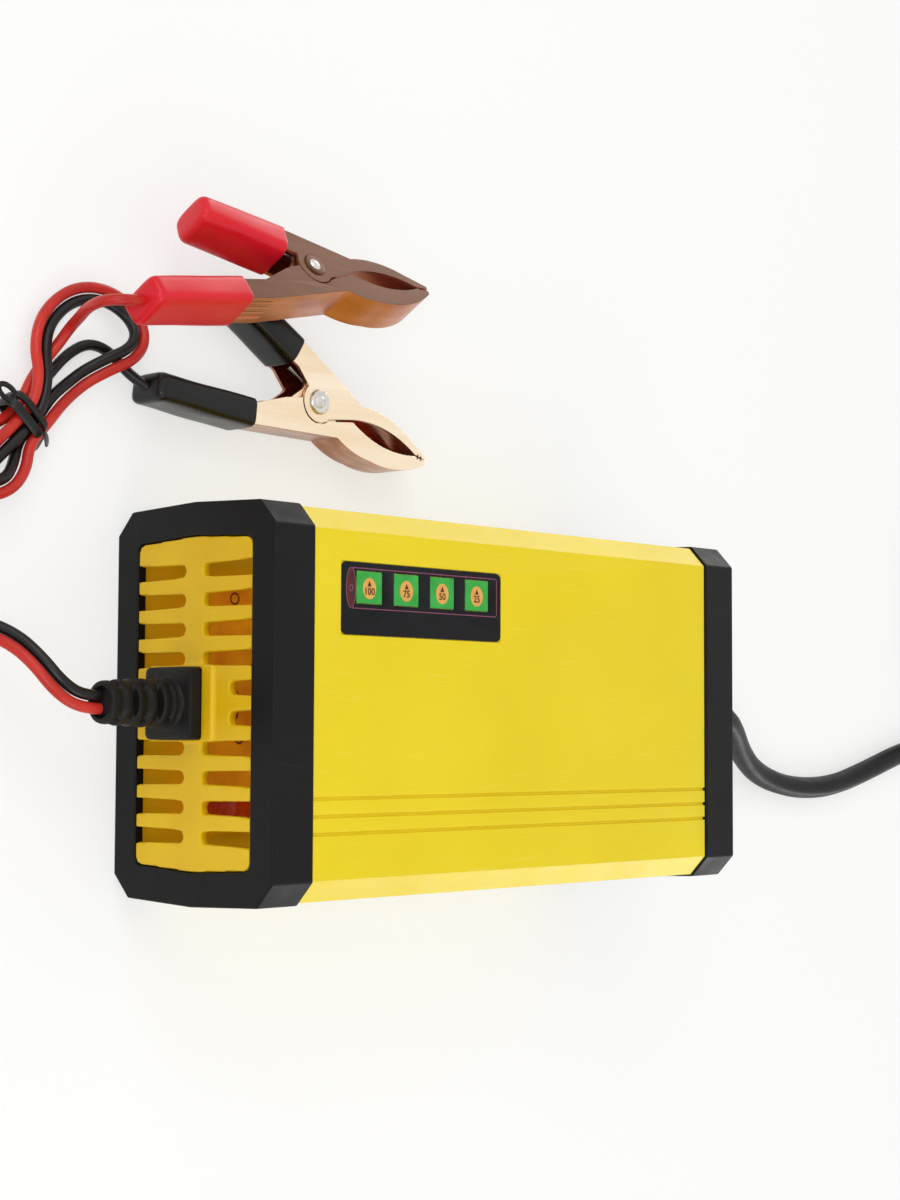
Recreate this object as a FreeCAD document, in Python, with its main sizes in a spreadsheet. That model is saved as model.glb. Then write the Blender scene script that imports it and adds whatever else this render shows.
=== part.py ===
"""Car battery charger: a small yellow case with black end frames, a mains lead and a clip lead.

The case lies on its back. X runs along the case, Y across it and Z up through the display face.
The origin is the middle of the case's footprint. All sizes are in millimetres.
"""
import FreeCAD, Part
import math
import os
import Sketcher
from FreeCAD import Placement, Rotation, Vector

# Driving sizes. Each is one cell of the sheet, under the alias given here.
SIZES = {
    # Case, over its end frames
    "case_length": 130.0,
    "case_width": 70.0,
    "case_thickness": 42.0,
    "chamfer_run": 4.1,  # across the case
    "chamfer_rise": 3.9,  # through its thickness
    "side_draft": 0.7,  # how far each narrow side falls back from its middle ridge
    "shell_wall": 2.4,
    "shell_step": 0.45,  # the shells lie this far below the end frames' surface
    "groove_pitch": 3.0,
    "groove_width": 0.8,
    "groove_depth": 0.5,
    "groove_place": 19.2,  # of the middle groove, from the case's middle
    # End frames
    "frame_depth": 9.4,
    "frame_wall": 1.5,
    "frame_lip": 2.0,
    "fit_gap": 0.15,
    "window_side": 6.7,  # from the case's narrow side to the window's corners
    "window_edge": 5.8,  # from its front and back
    "window_ridge": 0.85,  # how far its short sides bow out at the middle
    "window_corner": 1.6,
    # Vent combs
    "comb_thickness": 1.8,
    "comb_flange": 1.2,
    "comb_room": 2.5,  # between the flange and the frame's side wall
    "comb_block": 3.9,  # solid block at each end of the comb
    "spine_width": 4.7,
    "slot_inner": 2.1,
    "slot_outer": 2.8,
    "short_slot_start": 9.4,  # from the comb's middle
    "collar_rise": 0.6,
    "collar_side": 2.9,
    "collar_rim": 0.45,
    # Strain reliefs
    "boot_block": 12.0,
    "boot_drop": 3.4,  # its axis lies this far below the parting line
    "boot_proud": 2.3,
    "boot_flange": 1.8,
    "boot_overlap": 1.6,
    "boot_root": 8.6,
    "boot_tip": 7.3,
    "output_boot_reach": 14.5,
    "mains_boot_reach": 20.0,
    "boot_slot": 1.15,
    "boot_slot_pitch": 2.6,
    "boot_slot_depth": 1.5,
    # Display
    "display_length": 41.0,
    "display_width": 12.6,
    "display_end": 36.4,  # its middle, from the output end of the case
    "display_edge": 16.7,  # its middle, from the upper narrow side
    "film_thickness": 0.4,
    "film_recess": 0.3,
    "lamp_pitch": 9.25,
    "lamp_length": 6.4,
    "lamp_width": 5.8,
    "lamp_offset": 2.0,
    "lamp_ledge": 0.6,
    "lens_gap": 0.1,
    "lamp_diameter": 3.0,
    "lamp_height": 3.0,
    "film_corner": 1.2,
    "lamp_gap": 0.4,
    # Screws and circuit boards
    "screw_end": 17.0,  # from the case's ends
    "screw_edge": 8.7,  # from its narrow sides
    "boss_diameter": 6.4,
    "screw_diameter": 3.0,
    "screw_head": 5.6,
    "screw_head_depth": 2.4,
    "screw_grip": 8.0,
    "board_end_gap": 11.0,
    "board_side_gap": 0.6,
    "board_thickness": 1.6,
    "board_post": 4.0,
    "post_end": 14.0,  # from the board's ends
    "post_edge": 5.5,  # from its long sides
    "post_diameter": 6.0,
    "pin_diameter": 2.6,
    "board_inset": 1.7,  # of the lamp board, inside the film's outline
    "small_board": 1.0,
    "small_post": 3.0,
    "small_pin": 1.6,
    # What stands on the main board
    "transformer_end": 42.0,  # its middle, from the mains end of the board
    "core_width": 24.0,
    "core_depth": 12.0,
    "core_height": 20.0,
    "core_leg": 7.0,
    "core_yoke": 3.6,
    "winding_gap": 0.15,
    "winding_corner": 3.0,
    "mains_can_end": 21.0,
    "mains_can_y": 12.0,
    "mains_can_diameter": 14.0,
    "mains_can_height": 22.0,
    "can_edge": 19.0,
    "can_pitch": 8.6,
    "can_diameter": 8.0,
    "can_height": 14.0,
    "sink_x": -14.0,
    "sink_length": 25.2,
    "sink_depth": 7.0,
    "sink_edge": 0.5,  # from the board's lower edge
    "sink_plate": 2.0,
    "sink_fin": 1.2,
    "sink_pitch": 6.0,
    "sink_height": 18.0,
    "tab_screw": 3.0,
    "tab_hole_height": 15.6,  # above the board
    "tab_width": 10.0,
    "tab_thickness": 1.3,
    "tab_height": 15.0,
    "moulding_depth": 3.4,
    "moulding_height": 9.0,
    "leg_height": 3.5,
    "leg_pitch": 2.54,
    "leg_width": 0.8,
    "leg_thickness": 0.6,
    "tab_screw_head": 5.4,
    "tab_screw_depth": 2.0,
    "rectifier_end": 21.0,
    "rectifier_length": 15.0,
    "rectifier_depth": 3.6,
    "rectifier_height": 10.0,
    "rectifier_leg": 2.5,
    "rectifier_pitch": 3.8,
    "fuse_end": 37.0,
    "fuse_edge": 4.2,
    "fuse_diameter": 5.2,
    "fuse_length": 20.0,
    "fuse_height": 4.2,
    "seat_length": 5.0,
    "seat_width": 7.0,
    "seat_height": 6.0,
    "seat_inset": 1.5,
    "seat_pitch": 15.0,
    "filter_end": 7.5,
    "filter_y": -9.0,
    "filter_length": 8.0,
    "filter_width": 17.0,
    "filter_height": 14.0,
    "film_end": 6.6,
    "film_edge": 4.0,
    "film_length": 12.0,
    "film_width": 6.0,
    "film_height": 11.0,
    "control_x": -16.0,
    "chip_y": 2.0,
    "chip_length": 9.0,
    "chip_width": 6.4,
    "chip_height": 3.4,
    "resistor_start": 7.5,
    "resistor_pitch": 3.0,
    "resistor_length": 6.5,
    "resistor_width": 1.8,
    # Clips
    "clip_width": 7.6,
    "clip_sheet": 0.7,
    "clip_play": 0.1,
    "jaw_reach": 30.5,
    "jaw_bulge": 5.0,
    "jaw_gap": 0.3,
    "eye_depth": 1.7,
    "long_handle": 36.0,
    "long_handle_tilt": 10.4,
    "long_handle_depth": 4.3,
    "short_handle": 22.5,
    "red_handle_tilt": 11.5,
    "red_handle_rise": 7.0,
    "black_handle_tilt": 15.5,
    "black_handle_rise": 8.4,
    "short_handle_depth": 5.0,
    "rivet_diameter": 2.9,
    "rivet_head": 4.8,
    "rivet_dome": 0.65,
    "rivet_play": 0.05,
    "sleeve_wall": 0.8,
    "sleeve_play": 0.06,
    "long_sleeve": 23.0,
    "red_short_sleeve": 19.0,
    "black_short_sleeve": 16.5,
    "sleeve_cap": 1.2,
    "sleeve_room": 0.3,
    "sleeve_corner": 2.4,
    "red_sleeve_slip": 6.0,
    "black_sleeve_slip": 0.0,
    "spring_wire": 0.8,
    "spring_turns": 2.0,
    "spring_leg": 8.5,
    "spring_room": 0.35,
    # Leads
    "core_diameter": 2.0,
    "core_spacing": 2.15,
    "mains_diameter": 5.3,
    "inner_wire": 2.0,
    "turn_gap": 0.45,
    "tie_thickness": 0.8,
    "tie_room": 0.1,
    "tie_width": 3.0,
    "output_coil_radius": 19.3,
    "output_coil_turns": 2.88,
    "mains_coil_radius": 33.5,
    "mains_coil_turns": 3.25,
    # Plug
    "plug_length": 37.0,
    "plug_width": 35.0,
    "plug_thickness": 13.7,
    "plug_neck": 10.0,
    "plug_relief": 10.0,
    "plug_pin_root": 6.0,
    "plug_grip": 14.0,
    "plug_corner": 3.0,
    "plug_bevel": 1.6,
    "plug_pin_diameter": 4.0,
    "plug_pin_length": 19.0,
    "plug_pin_spacing": 19.0,
    "plug_sleeve_length": 10.0,
    "plug_sleeve_diameter": 3.7,
}

doc = FreeCAD.newDocument("battery_charger")
sheet = doc.addObject("Spreadsheet::Sheet", "Sizes")
for row, (name, value) in enumerate(SIZES.items(), 1):
    sheet.set(f"A{row}", name.replace("_", " "))
    sheet.set(f"B{row}", str(value))
    sheet.setAlias(f"B{row}", name)
doc.recompute()

NODES = {}


def size(name):
    """A driving size, as the sheet holds it."""
    return float(sheet.get(name))


def cell(expression):
    """An expression over the sheet's aliases, as the document's objects read it."""
    words = expression.replace("(", " ( ").replace(")", " ) ").split()
    return " ".join(f"Sizes.{word}" if word in SIZES else word for word in words)


# Derived places, as expressions over the sheet
HALF_LENGTH = "case_length / 2"
HALF_WIDTH = "case_width / 2"
HALF_THICK = "case_thickness / 2"
SHELL_TOP = "( case_thickness / 2 - shell_step )"
SHELL_INSET = "shell_step"
CAVITY_INSET = "shell_step + shell_wall"
SPIGOT_INSET = "frame_wall + fit_gap"
COMB_BACK = "( frame_lip + comb_flange )"
WINDOW_SIDE = "( case_width / 2 - window_side )"
WINDOW_RISE = "( case_thickness / 2 - window_edge )"
SLOT_PITCH = f"( ( {WINDOW_SIDE} - comb_block - slot_outer / 2 ) / 4.5 )"
BOARD_BASE = "( shell_step + shell_wall + board_post )"
BOARD_TOP = "( shell_step + shell_wall + board_post + board_thickness )"
BOARD_LENGTH = "( case_length - 2 * board_end_gap )"
BOARD_WIDTH = "( case_width - 2 * screw_edge - boss_diameter - 2 * board_side_gap )"
BOOT_FACE = "( case_length / 2 + boot_proud + collar_rise + comb_thickness - frame_lip )"
OUTPUT_COIL_AT = (-133.2, 30.1)
MAINS_COIL_AT = (242.0, 28.0)
SCREW_X = "( case_length / 2 - screw_end )"
SCREW_Y = "( case_width / 2 - screw_edge )"
DISPLAY_X = "( display_end - case_length / 2 )"
DISPLAY_Y = "( case_width / 2 - display_edge )"
BOARD_END = f"( {BOARD_LENGTH} / 2 )"
BOARD_EDGE = f"( {BOARD_WIDTH} / 2 )"
TRANSFORMER_X = f"( {BOARD_END} - transformer_end )"
POST_X = "( case_length / 2 - board_end_gap - post_end )"
POST_Y = "( case_width / 2 - screw_edge - boss_diameter / 2 - board_side_gap - post_edge )"


def node(label, feature):
    """Names a finished sub-part."""
    feature.Label = label
    NODES[label] = feature
    return feature


def new_body(name, x="0", z="0", turned=False):
    """A body whose own frame is the case's, moved along X and Z, and turned end for end where asked."""
    body = doc.addObject("PartDesign::Body", name)
    if turned:
        body.Placement.Rotation = Rotation(Vector(0, 0, 1), 180)
    body.setExpression("Placement.Base.x", cell(x))
    body.setExpression("Placement.Base.z", cell(z))
    return body


def outlines(body, name, plane, loops, offset="0"):
    """A sketch of closed straight-sided loops, each corner placed by two expressions."""
    sketch = body.newObject("Sketcher::SketchObject", name)
    support = [f for f in body.Origin.OriginFeatures if f.Role == plane + "_Plane"]
    sketch.AttachmentSupport = (support[0], [""])
    sketch.MapMode = "FlatFace"
    sketch.setExpression("AttachmentOffset.Base.z", cell(offset))
    for corners in loops:
        places = [(value_of(x), value_of(y)) for x, y in corners]
        first = sketch.GeometryCount
        ends = places[1:] + places[:1]
        lines = [Part.LineSegment(Vector(*a, 0), Vector(*b, 0)) for a, b in zip(places, ends)]
        sketch.addGeometry(lines, False)
        for i, (x, y) in enumerate(corners):
            line = first + i
            following = first + (i + 1) % len(corners)
            sketch.addConstraint(Sketcher.Constraint("Coincident", line, 2, following, 1))
            for kind, expression in (("DistanceX", x), ("DistanceY", y)):
                number = value_of(expression)
                at = sketch.addConstraint(Sketcher.Constraint(kind, -1, 1, line, 1, number))
                sketch.setExpression(f"Constraints[{at}]", cell(expression))
    return sketch


def value_of(expression):
    """The number that an expression gives now, for placing a sketch's corners before it is solved."""
    words = expression.replace("(", " ( ").replace(")", " ) ").split()
    total = " ".join(repr(size(word)) if word in SIZES else word for word in words)
    return float(FreeCAD.Units.Quantity(total).Value)


def box_corners(x, y, width, height):
    """The four corners of a rectangle about a middle."""
    return [
        (f"{x} - ( {width} ) / 2", f"{y} - ( {height} ) / 2"),
        (f"{x} + ( {width} ) / 2", f"{y} - ( {height} ) / 2"),
        (f"{x} + ( {width} ) / 2", f"{y} + ( {height} ) / 2"),
        (f"{x} - ( {width} ) / 2", f"{y} + ( {height} ) / 2"),
    ]


def extrude(kind, body, sketch, length=None, midplane=False, backwards=False):
    """A Pad or a Pocket of a sketch; a Pocket with no length goes through all."""
    feature = body.newObject("PartDesign::" + kind, sketch.Name + kind)
    feature.Profile = sketch
    sketch.Visibility = False
    if length is None:
        feature.Type = "ThroughAll"
    else:
        feature.setExpression("Length", cell(length))
    if midplane:
        if hasattr(feature, "SideType"):
            feature.SideType = "Symmetric"
        else:
            feature.Midplane = True
    feature.Reversed = backwards
    doc.recompute()
    return feature


def round_edges(body, radius, keep, name, kind="Fillet", what="Radius"):
    """Rounds or bevels the edges of a body's tip that keep() accepts."""
    tip = body.Tip
    names = [f"Edge{i}" for i, edge in enumerate(tip.Shape.Edges, 1) if keep(edge)]
    feature = body.newObject("PartDesign::" + kind, name)
    feature.Base = (tip, names)
    feature.setExpression(what if kind == "Fillet" else "Size", cell(radius))
    doc.recompute()
    return feature


def along(edge, axis, least=0.0):
    """Whether an edge is straight along an axis and longer than least."""
    if len(edge.Vertexes) != 2 or edge.Length <= least:
        return False
    step = edge.Vertexes[1].Point - edge.Vertexes[0].Point
    return abs(abs(step.dot(axis)) - edge.Length) < 1e-6


X_AXIS, Y_AXIS, Z_AXIS = Vector(1, 0, 0), Vector(0, 1, 0), Vector(0, 0, 1)
CORNER_TURN = 0.414  # tangent of 22.5 degrees: how a 45 degree corner moves when its sides are inset


def half_section(inset):
    """The case's upper half outline, left to right, moved inwards by inset, in Y and Z."""
    side = f"( case_width / 2 - ( {inset} ) )"
    shoulder = f"( case_width / 2 - side_draft - ( {inset} ) )"
    flat = f"( case_width / 2 - side_draft - chamfer_run - ( {inset} ) * {CORNER_TURN} )"
    rise = f"( case_thickness / 2 - chamfer_rise - ( {inset} ) * {CORNER_TURN} )"
    top = f"( case_thickness / 2 - ( {inset} ) )"
    return [
        (f"0 - {side}", "0"),
        (f"0 - {shoulder}", rise),
        (f"0 - {flat}", top),
        (flat, top),
        (shoulder, rise),
        (side, "0"),
    ]


def whole_section(inset):
    """The case's whole outline, moved inwards by inset."""
    upper = half_section(inset)
    lower = [(y, f"0 - {z}") for y, z in reversed(upper[1:-1])]
    return upper + lower


def channel(outer, inner):
    """Half a tube's section between two insets."""
    return half_section(outer) + list(reversed(half_section(inner)))


def shell(name):
    """Half of the yellow case: a channel with a stepped-in spigot at each end, in the upper half."""
    body = new_body(name, z=HALF_THICK)
    reach = f"case_length - 2 * {COMB_BACK} - 2 * fit_gap"
    spigot = outlines(body, name + "_spigot", "YZ", [channel(SPIGOT_INSET, CAVITY_INSET)])
    extrude("Pad", body, spigot, reach, midplane=True)
    wall = outlines(body, name + "_wall", "YZ", [channel(SHELL_INSET, CAVITY_INSET)])
    extrude("Pad", body, wall, "case_length - 2 * frame_depth - 2 * fit_gap", midplane=True)
    return body


def corners_of_four(x, y):
    """Four places, one in each quarter."""
    return [(f"{sx} * ( {x} )", f"{sy} * ( {y} )") for sx in ("-1", "1") for sy in ("-1", "1")]


def circles(body, name, places, diameter, offset, plane="XY"):
    """A sketch of equal circles, each centre and the diameter held by expressions."""
    sketch = outlines(body, name, plane, [], offset)
    for x, y in places:
        centre = Vector(value_of(x), value_of(y), 0)
        radius = value_of(diameter) / 2
        ring = sketch.addGeometry(Part.Circle(centre, Vector(0, 0, 1), radius), False)
        for kind, expression in (("DistanceX", x), ("DistanceY", y)):
            held = Sketcher.Constraint(kind, -1, 1, ring, 3, value_of(expression))
            at = sketch.addConstraint(held)
            sketch.setExpression(f"Constraints[{at}]", cell(expression))
        at = sketch.addConstraint(Sketcher.Constraint("Diameter", ring, 2 * radius))
        sketch.setExpression(f"Constraints[{at}]", cell(diameter))
    return sketch


def yz_circles(body, name, places, diameter, offset):
    """Equal circles on a plane square to X."""
    return circles(body, name, places, diameter, offset, plane="YZ")


def lamp_places():
    """Middles of the four display lamps."""
    steps = ("-1.5", "-0.5", "0.5", "1.5")
    return [(f"{DISPLAY_X} + ( {k} ) * lamp_pitch", f"{DISPLAY_Y} + lamp_offset") for k in steps]


def display_posts():
    """Where the two posts of the lamp board stand."""
    reach = "( display_length / 2 - small_post )"
    return [(f"{DISPLAY_X} - {reach}", DISPLAY_Y), (f"{DISPLAY_X} + {reach}", DISPLAY_Y)]


def front_shell():
    """The shell with the display: three grooves, the film's recess, lamp openings and screw bosses."""
    body = shell("FrontShell")
    bosses = circles(body, "FrontBosses", corners_of_four(SCREW_X, SCREW_Y), "boss_diameter", "0")
    extrude("Pad", body, bosses, "case_thickness / 2 - shell_step - shell_wall / 2")
    lamp_floor = f"{SHELL_TOP} - shell_wall - lamp_height - lamp_gap"
    posts = circles(body, "DisplayPosts", display_posts(), "small_post", lamp_floor)
    extrude("Pad", body, posts, "lamp_height + lamp_gap + shell_wall / 2")
    pins = circles(body, "DisplayPins", display_posts(), "small_pin", f"{lamp_floor} - small_board - 0.4")
    extrude("Pad", body, pins, "lamp_height + small_board")
    pilots = circles(
        body, "FrontPilots", corners_of_four(SCREW_X, SCREW_Y), "screw_diameter + 0.1", "0"
    )
    extrude("Pocket", body, pilots, "screw_grip + 1", backwards=True)
    recess = outlines(
        body,
        "FilmRecess",
        "XY",
        [box_corners(DISPLAY_X, DISPLAY_Y, "display_length + 2 * lens_gap", "display_width + 2 * lens_gap")],
        SHELL_TOP,
    )
    extrude("Pocket", body, recess, "film_recess")
    openings = [
        box_corners(x, y, "lamp_length - 2 * lamp_ledge", "lamp_width - 2 * lamp_ledge")
        for x, y in lamp_places()
    ]
    lights = outlines(body, "LampOpenings", "XY", openings, SHELL_TOP)
    extrude("Pocket", body, lights, "shell_wall + 0.5")
    grooves = []
    for step in ("-1", "0", "1"):
        middle = f"( 0 - groove_place + ( {step} ) * groove_pitch )"
        grooves.append(
            [
                (f"{middle} - groove_width / 2", f"{SHELL_TOP} + 0.1"),
                (f"{middle} + groove_width / 2", f"{SHELL_TOP} + 0.1"),
                (f"{middle} + groove_width / 5", f"{SHELL_TOP} - groove_depth"),
                (f"{middle} - groove_width / 5", f"{SHELL_TOP} - groove_depth"),
            ]
        )
    cuts = outlines(body, "Grooves", "YZ", grooves)
    extrude("Pocket", body, cuts, "case_length", midplane=True)
    return node("front_shell", body)


def rear_shell():
    """The plain back shell, with screw bosses, counterbores and posts for the main board."""
    body = shell("RearShell")
    body.Placement.Rotation = Rotation(X_AXIS, 180)
    bosses = circles(body, "RearBosses", corners_of_four(SCREW_X, SCREW_Y), "boss_diameter", "0")
    extrude("Pad", body, bosses, "case_thickness / 2 - shell_step - shell_wall / 2")
    floor = f"( {SHELL_TOP} - shell_wall )"
    seats = corners_of_four(POST_X, POST_Y)
    posts = circles(body, "BoardPosts", seats, "post_diameter", f"{floor} - board_post")
    extrude("Pad", body, posts, "board_post + shell_wall / 2")
    pins = circles(
        body, "BoardPins", seats, "pin_diameter", f"{floor} - board_post - board_thickness - 0.8"
    )
    extrude("Pad", body, pins, "board_thickness + board_post")
    holes = circles(
        body, "ScrewHoles", corners_of_four(SCREW_X, SCREW_Y), "screw_diameter + 0.4", SHELL_TOP
    )
    extrude("Pocket", body, holes)
    heads = circles(
        body, "ScrewSeats", corners_of_four(SCREW_X, SCREW_Y), "screw_head + 0.4", SHELL_TOP
    )
    extrude("Pocket", body, heads, "screw_head_depth + 0.4")
    return node("rear_shell", body)


def window(inset):
    """The vent window's six corners in Y and Z, moved inwards by inset."""
    half = f"( {WINDOW_SIDE} - ( {inset} ) )"
    peak = f"( {WINDOW_SIDE} + window_ridge - ( {inset} ) )"
    rise = f"( {WINDOW_RISE} - ( {inset} ) )"
    return [
        (f"0 - {half}", rise),
        (half, rise),
        (peak, "0"),
        (half, f"0 - {rise}"),
        (f"0 - {half}", f"0 - {rise}"),
        (f"0 - {peak}", "0"),
    ]


def end_frame(label, name, turned):
    """A black frame that caps one end of the two shells, with a lip round the vent window."""
    place = HALF_LENGTH if turned else f"0 - {HALF_LENGTH}"
    body = new_body(name, x=place, z=HALF_THICK, turned=turned)
    block = outlines(body, name + "_outer", "YZ", [whole_section("0")])
    extrude("Pad", body, block, "frame_depth")
    cavity = outlines(body, name + "_cavity", "YZ", [whole_section("frame_wall")], "frame_lip")
    extrude("Pocket", body, cavity, "frame_depth", backwards=True)
    opening = outlines(body, name + "_window", "YZ", [window("0")])
    extrude("Pocket", body, opening, "frame_lip + 1", backwards=True)
    rise, side = value_of(WINDOW_RISE), value_of("case_width / 2 - frame_wall")

    def is_window_corner(edge):
        place = edge.Vertexes[0].Point
        on_window = abs(abs(place.z) - rise) < 0.01 and abs(place.y) < side
        return along(edge, X_AXIS) and on_window

    round_edges(body, "window_corner", is_window_corner, name + "Corners")
    return node(label, body)


def slot(row, side, start, end):
    """One tapering vent slot, from the spine outwards, in Y and Z."""
    middle = f"( {row} ) * {SLOT_PITCH}"
    return [
        (f"{middle} - slot_inner / 2", f"{side} * ( {start} )"),
        (f"{middle} + slot_inner / 2", f"{side} * ( {start} )"),
        (f"{middle} + slot_outer / 2", f"{side} * ( {end} )"),
        (f"{middle} - slot_outer / 2", f"{side} * ( {end} )"),
    ]


def vent_comb(label, name, turned):
    """The yellow comb in a vent window: a spine with tapering ribs, and a collar for the strain relief."""
    place = HALF_LENGTH if turned else f"0 - {HALF_LENGTH}"
    body = new_body(name, x=place, z=HALF_THICK, turned=turned)
    front = "( frame_lip - comb_thickness )"
    plate = outlines(body, name + "_plate", "YZ", [window("fit_gap")], front)
    extrude("Pad", body, plate, "comb_thickness")
    near_corner = value_of(f"{WINDOW_RISE} - 1")
    round_edges(
        body,
        "window_corner",
        lambda edge: along(edge, X_AXIS) and abs(edge.Vertexes[0].Point.z) > near_corner,
        name + "Corners",
    )
    past = f"{WINDOW_RISE} + 1"
    rows = ["-4.5", "-3.5", "-2.5", "-1.5", "1.5", "2.5", "3.5", "4.5"]
    slots = [slot(row, side, "spine_width / 2", past) for row in rows for side in ("-1", "1")]
    slots += [slot(row, "1", "short_slot_start", past) for row in ("-0.5", "0.5")]
    cuts = outlines(body, name + "_slots", "YZ", slots, front)
    extrude("Pocket", body, cuts, "comb_thickness + 1", backwards=True)
    inner_ends = value_of("spine_width / 2")
    short_ends = size("short_slot_start")

    def is_slot_end(edge):
        height = abs(edge.Vertexes[0].Point.z)
        near = abs(height - inner_ends) < 0.01 or abs(height - short_ends) < 0.01
        return along(edge, X_AXIS) and near

    round_edges(body, "slot_inner * 0.45", is_slot_end, name + "SlotEnds")
    outer = "case_width / 2 - frame_wall - comb_room"
    inner = f"{WINDOW_SIDE} - comb_block + 0.4"
    strips = []
    for sign in ("-1", "1"):
        near, far = (inner, outer) if sign == "1" else (outer, inner)
        strips.append(
            [
                (f"{sign} * ( {near} )", f"1 - {WINDOW_RISE}"),
                (f"{sign} * ( {far} )", f"1 - {WINDOW_RISE}"),
                (f"{sign} * ( {far} )", f"{WINDOW_RISE} - 1"),
                (f"{sign} * ( {near} )", f"{WINDOW_RISE} - 1"),
            ]
        )
    flange = outlines(body, name + "_flange", "YZ", strips, "frame_lip")
    extrude("Pad", body, flange, "comb_flange")
    hole = "boot_block + 2 * fit_gap"
    left = f"0 - boot_drop - ( {hole} ) / 2 - collar_side / 2"
    right = f"0 - boot_drop + ( {hole} ) / 2 + collar_side"
    rim = f"( ( {hole} ) / 2 + collar_rim )"
    raised = [(f"0 - {rim}", left), (rim, left), (rim, right), (f"0 - {rim}", right)]
    collar = outlines(body, name + "_collar", "YZ", [raised], f"{front} - collar_rise")
    extrude("Pad", body, collar, "collar_rise + comb_thickness")
    square = box_corners("0", "0 - boot_drop", hole, hole)
    opening = outlines(body, name + "_hole", "YZ", [square], f"{front} - 2")
    extrude("Pocket", body, opening, "comb_thickness + 4", backwards=True)
    return node(label, body)


def strain_relief(label, name, turned, reach):
    """A moulded boot: a square block through the comb, a flange behind it and a slotted tapering sleeve."""
    place = HALF_LENGTH if turned else f"0 - {HALF_LENGTH}"
    body = new_body(name, x=place, z=f"{HALF_THICK} - boot_drop", turned=turned)
    face = "( 0 - ( boot_proud + collar_rise + comb_thickness - frame_lip ) )"
    square = outlines(body, name + "_block", "YZ", [box_corners("0", "0", "boot_block", "boot_block")], face)
    extrude("Pad", body, square, f"frame_lip - {face}")
    wide = "boot_block + 2 * boot_overlap"
    back = outlines(body, name + "_flange", "YZ", [box_corners("0", "0", wide, wide)], "frame_lip")
    extrude("Pad", body, back, "boot_flange")
    round_edges(
        body, "0.8", lambda edge: along(edge, X_AXIS, 3.0), name + "Block"
    )
    profile = [
        (f"{face} + 0.5", "0"),
        (f"{face} + 0.5", "boot_root / 2"),
        (f"{face} - ( {reach} ) + 0.6", "boot_tip / 2"),
        (f"{face} - ( {reach} )", "boot_tip / 2 - 0.6"),
        (f"{face} - ( {reach} )", "0"),
    ]
    taper = outlines(body, name + "_taper", "XZ", [profile])
    turn = body.newObject("PartDesign::Revolution", name + "Sleeve")
    turn.Profile = taper
    turn.ReferenceAxis = (taper, ["H_Axis"])
    turn.Angle = 360
    doc.recompute()
    count = int(value_of(f"( ( {reach} ) - 1 ) / boot_slot_pitch"))
    for plane, start in (("XY", 0), ("XZ", 1)):
        cuts = []
        for k in range(start, count, 2):
            middle = f"{face} - 2 - {k} * boot_slot_pitch"
            for sign in ("-1", "1"):
                near = f"{sign} * ( boot_tip / 2 - boot_slot_depth + 0.3 )"
                far = f"{sign} * ( boot_root / 2 + 1 )"
                low, high = (near, far) if sign == "1" else (far, near)
                cuts.append(
                    [
                        (f"{middle} - boot_slot / 2", low),
                        (f"{middle} + boot_slot / 2", low),
                        (f"{middle} + boot_slot / 2", high),
                        (f"{middle} - boot_slot / 2", high),
                    ]
                )
        sketch = outlines(body, f"{name}_slots_{plane}", plane, cuts)
        extrude("Pocket", body, sketch, "boot_root + 4", midplane=True)
    return node(label, body)


def block(name, x, y, z, length, width, height):
    """A box on its base, about a middle in X and Y."""
    box = doc.addObject("Part::Box", name)
    for side, value in (("Length", length), ("Width", width), ("Height", height)):
        box.setExpression(side, cell(value))
    box.setExpression("Placement.Base.x", cell(f"{x} - ( {length} ) / 2"))
    box.setExpression("Placement.Base.y", cell(f"{y} - ( {width} ) / 2"))
    box.setExpression("Placement.Base.z", cell(z))
    return box


def drum(name, x, y, z, diameter, height, rotation=None):
    """A cylinder on its base, upright or turned."""
    can = doc.addObject("Part::Cylinder", name)
    can.setExpression("Radius", cell(f"( {diameter} ) / 2"))
    can.setExpression("Height", cell(height))
    if rotation:
        can.Placement.Rotation = rotation
    for axis, value in (("x", x), ("y", y), ("z", z)):
        can.setExpression("Placement.Base." + axis, cell(value))
    return can


def fuse(name, features):
    """One solid from several."""
    joined = doc.addObject("Part::MultiFuse", name)
    joined.Shapes = features
    joined.Refine = True
    return joined


def cut(name, base, tool):
    """A solid less another."""
    rest = doc.addObject("Part::Cut", name)
    rest.Base, rest.Tool = base, tool
    return rest


def group(label, features):
    """Several like solids under one name."""
    together = doc.addObject("Part::Compound", "".join(word.title() for word in label.split("_")))
    together.Links = features
    return node(label, together)


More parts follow.
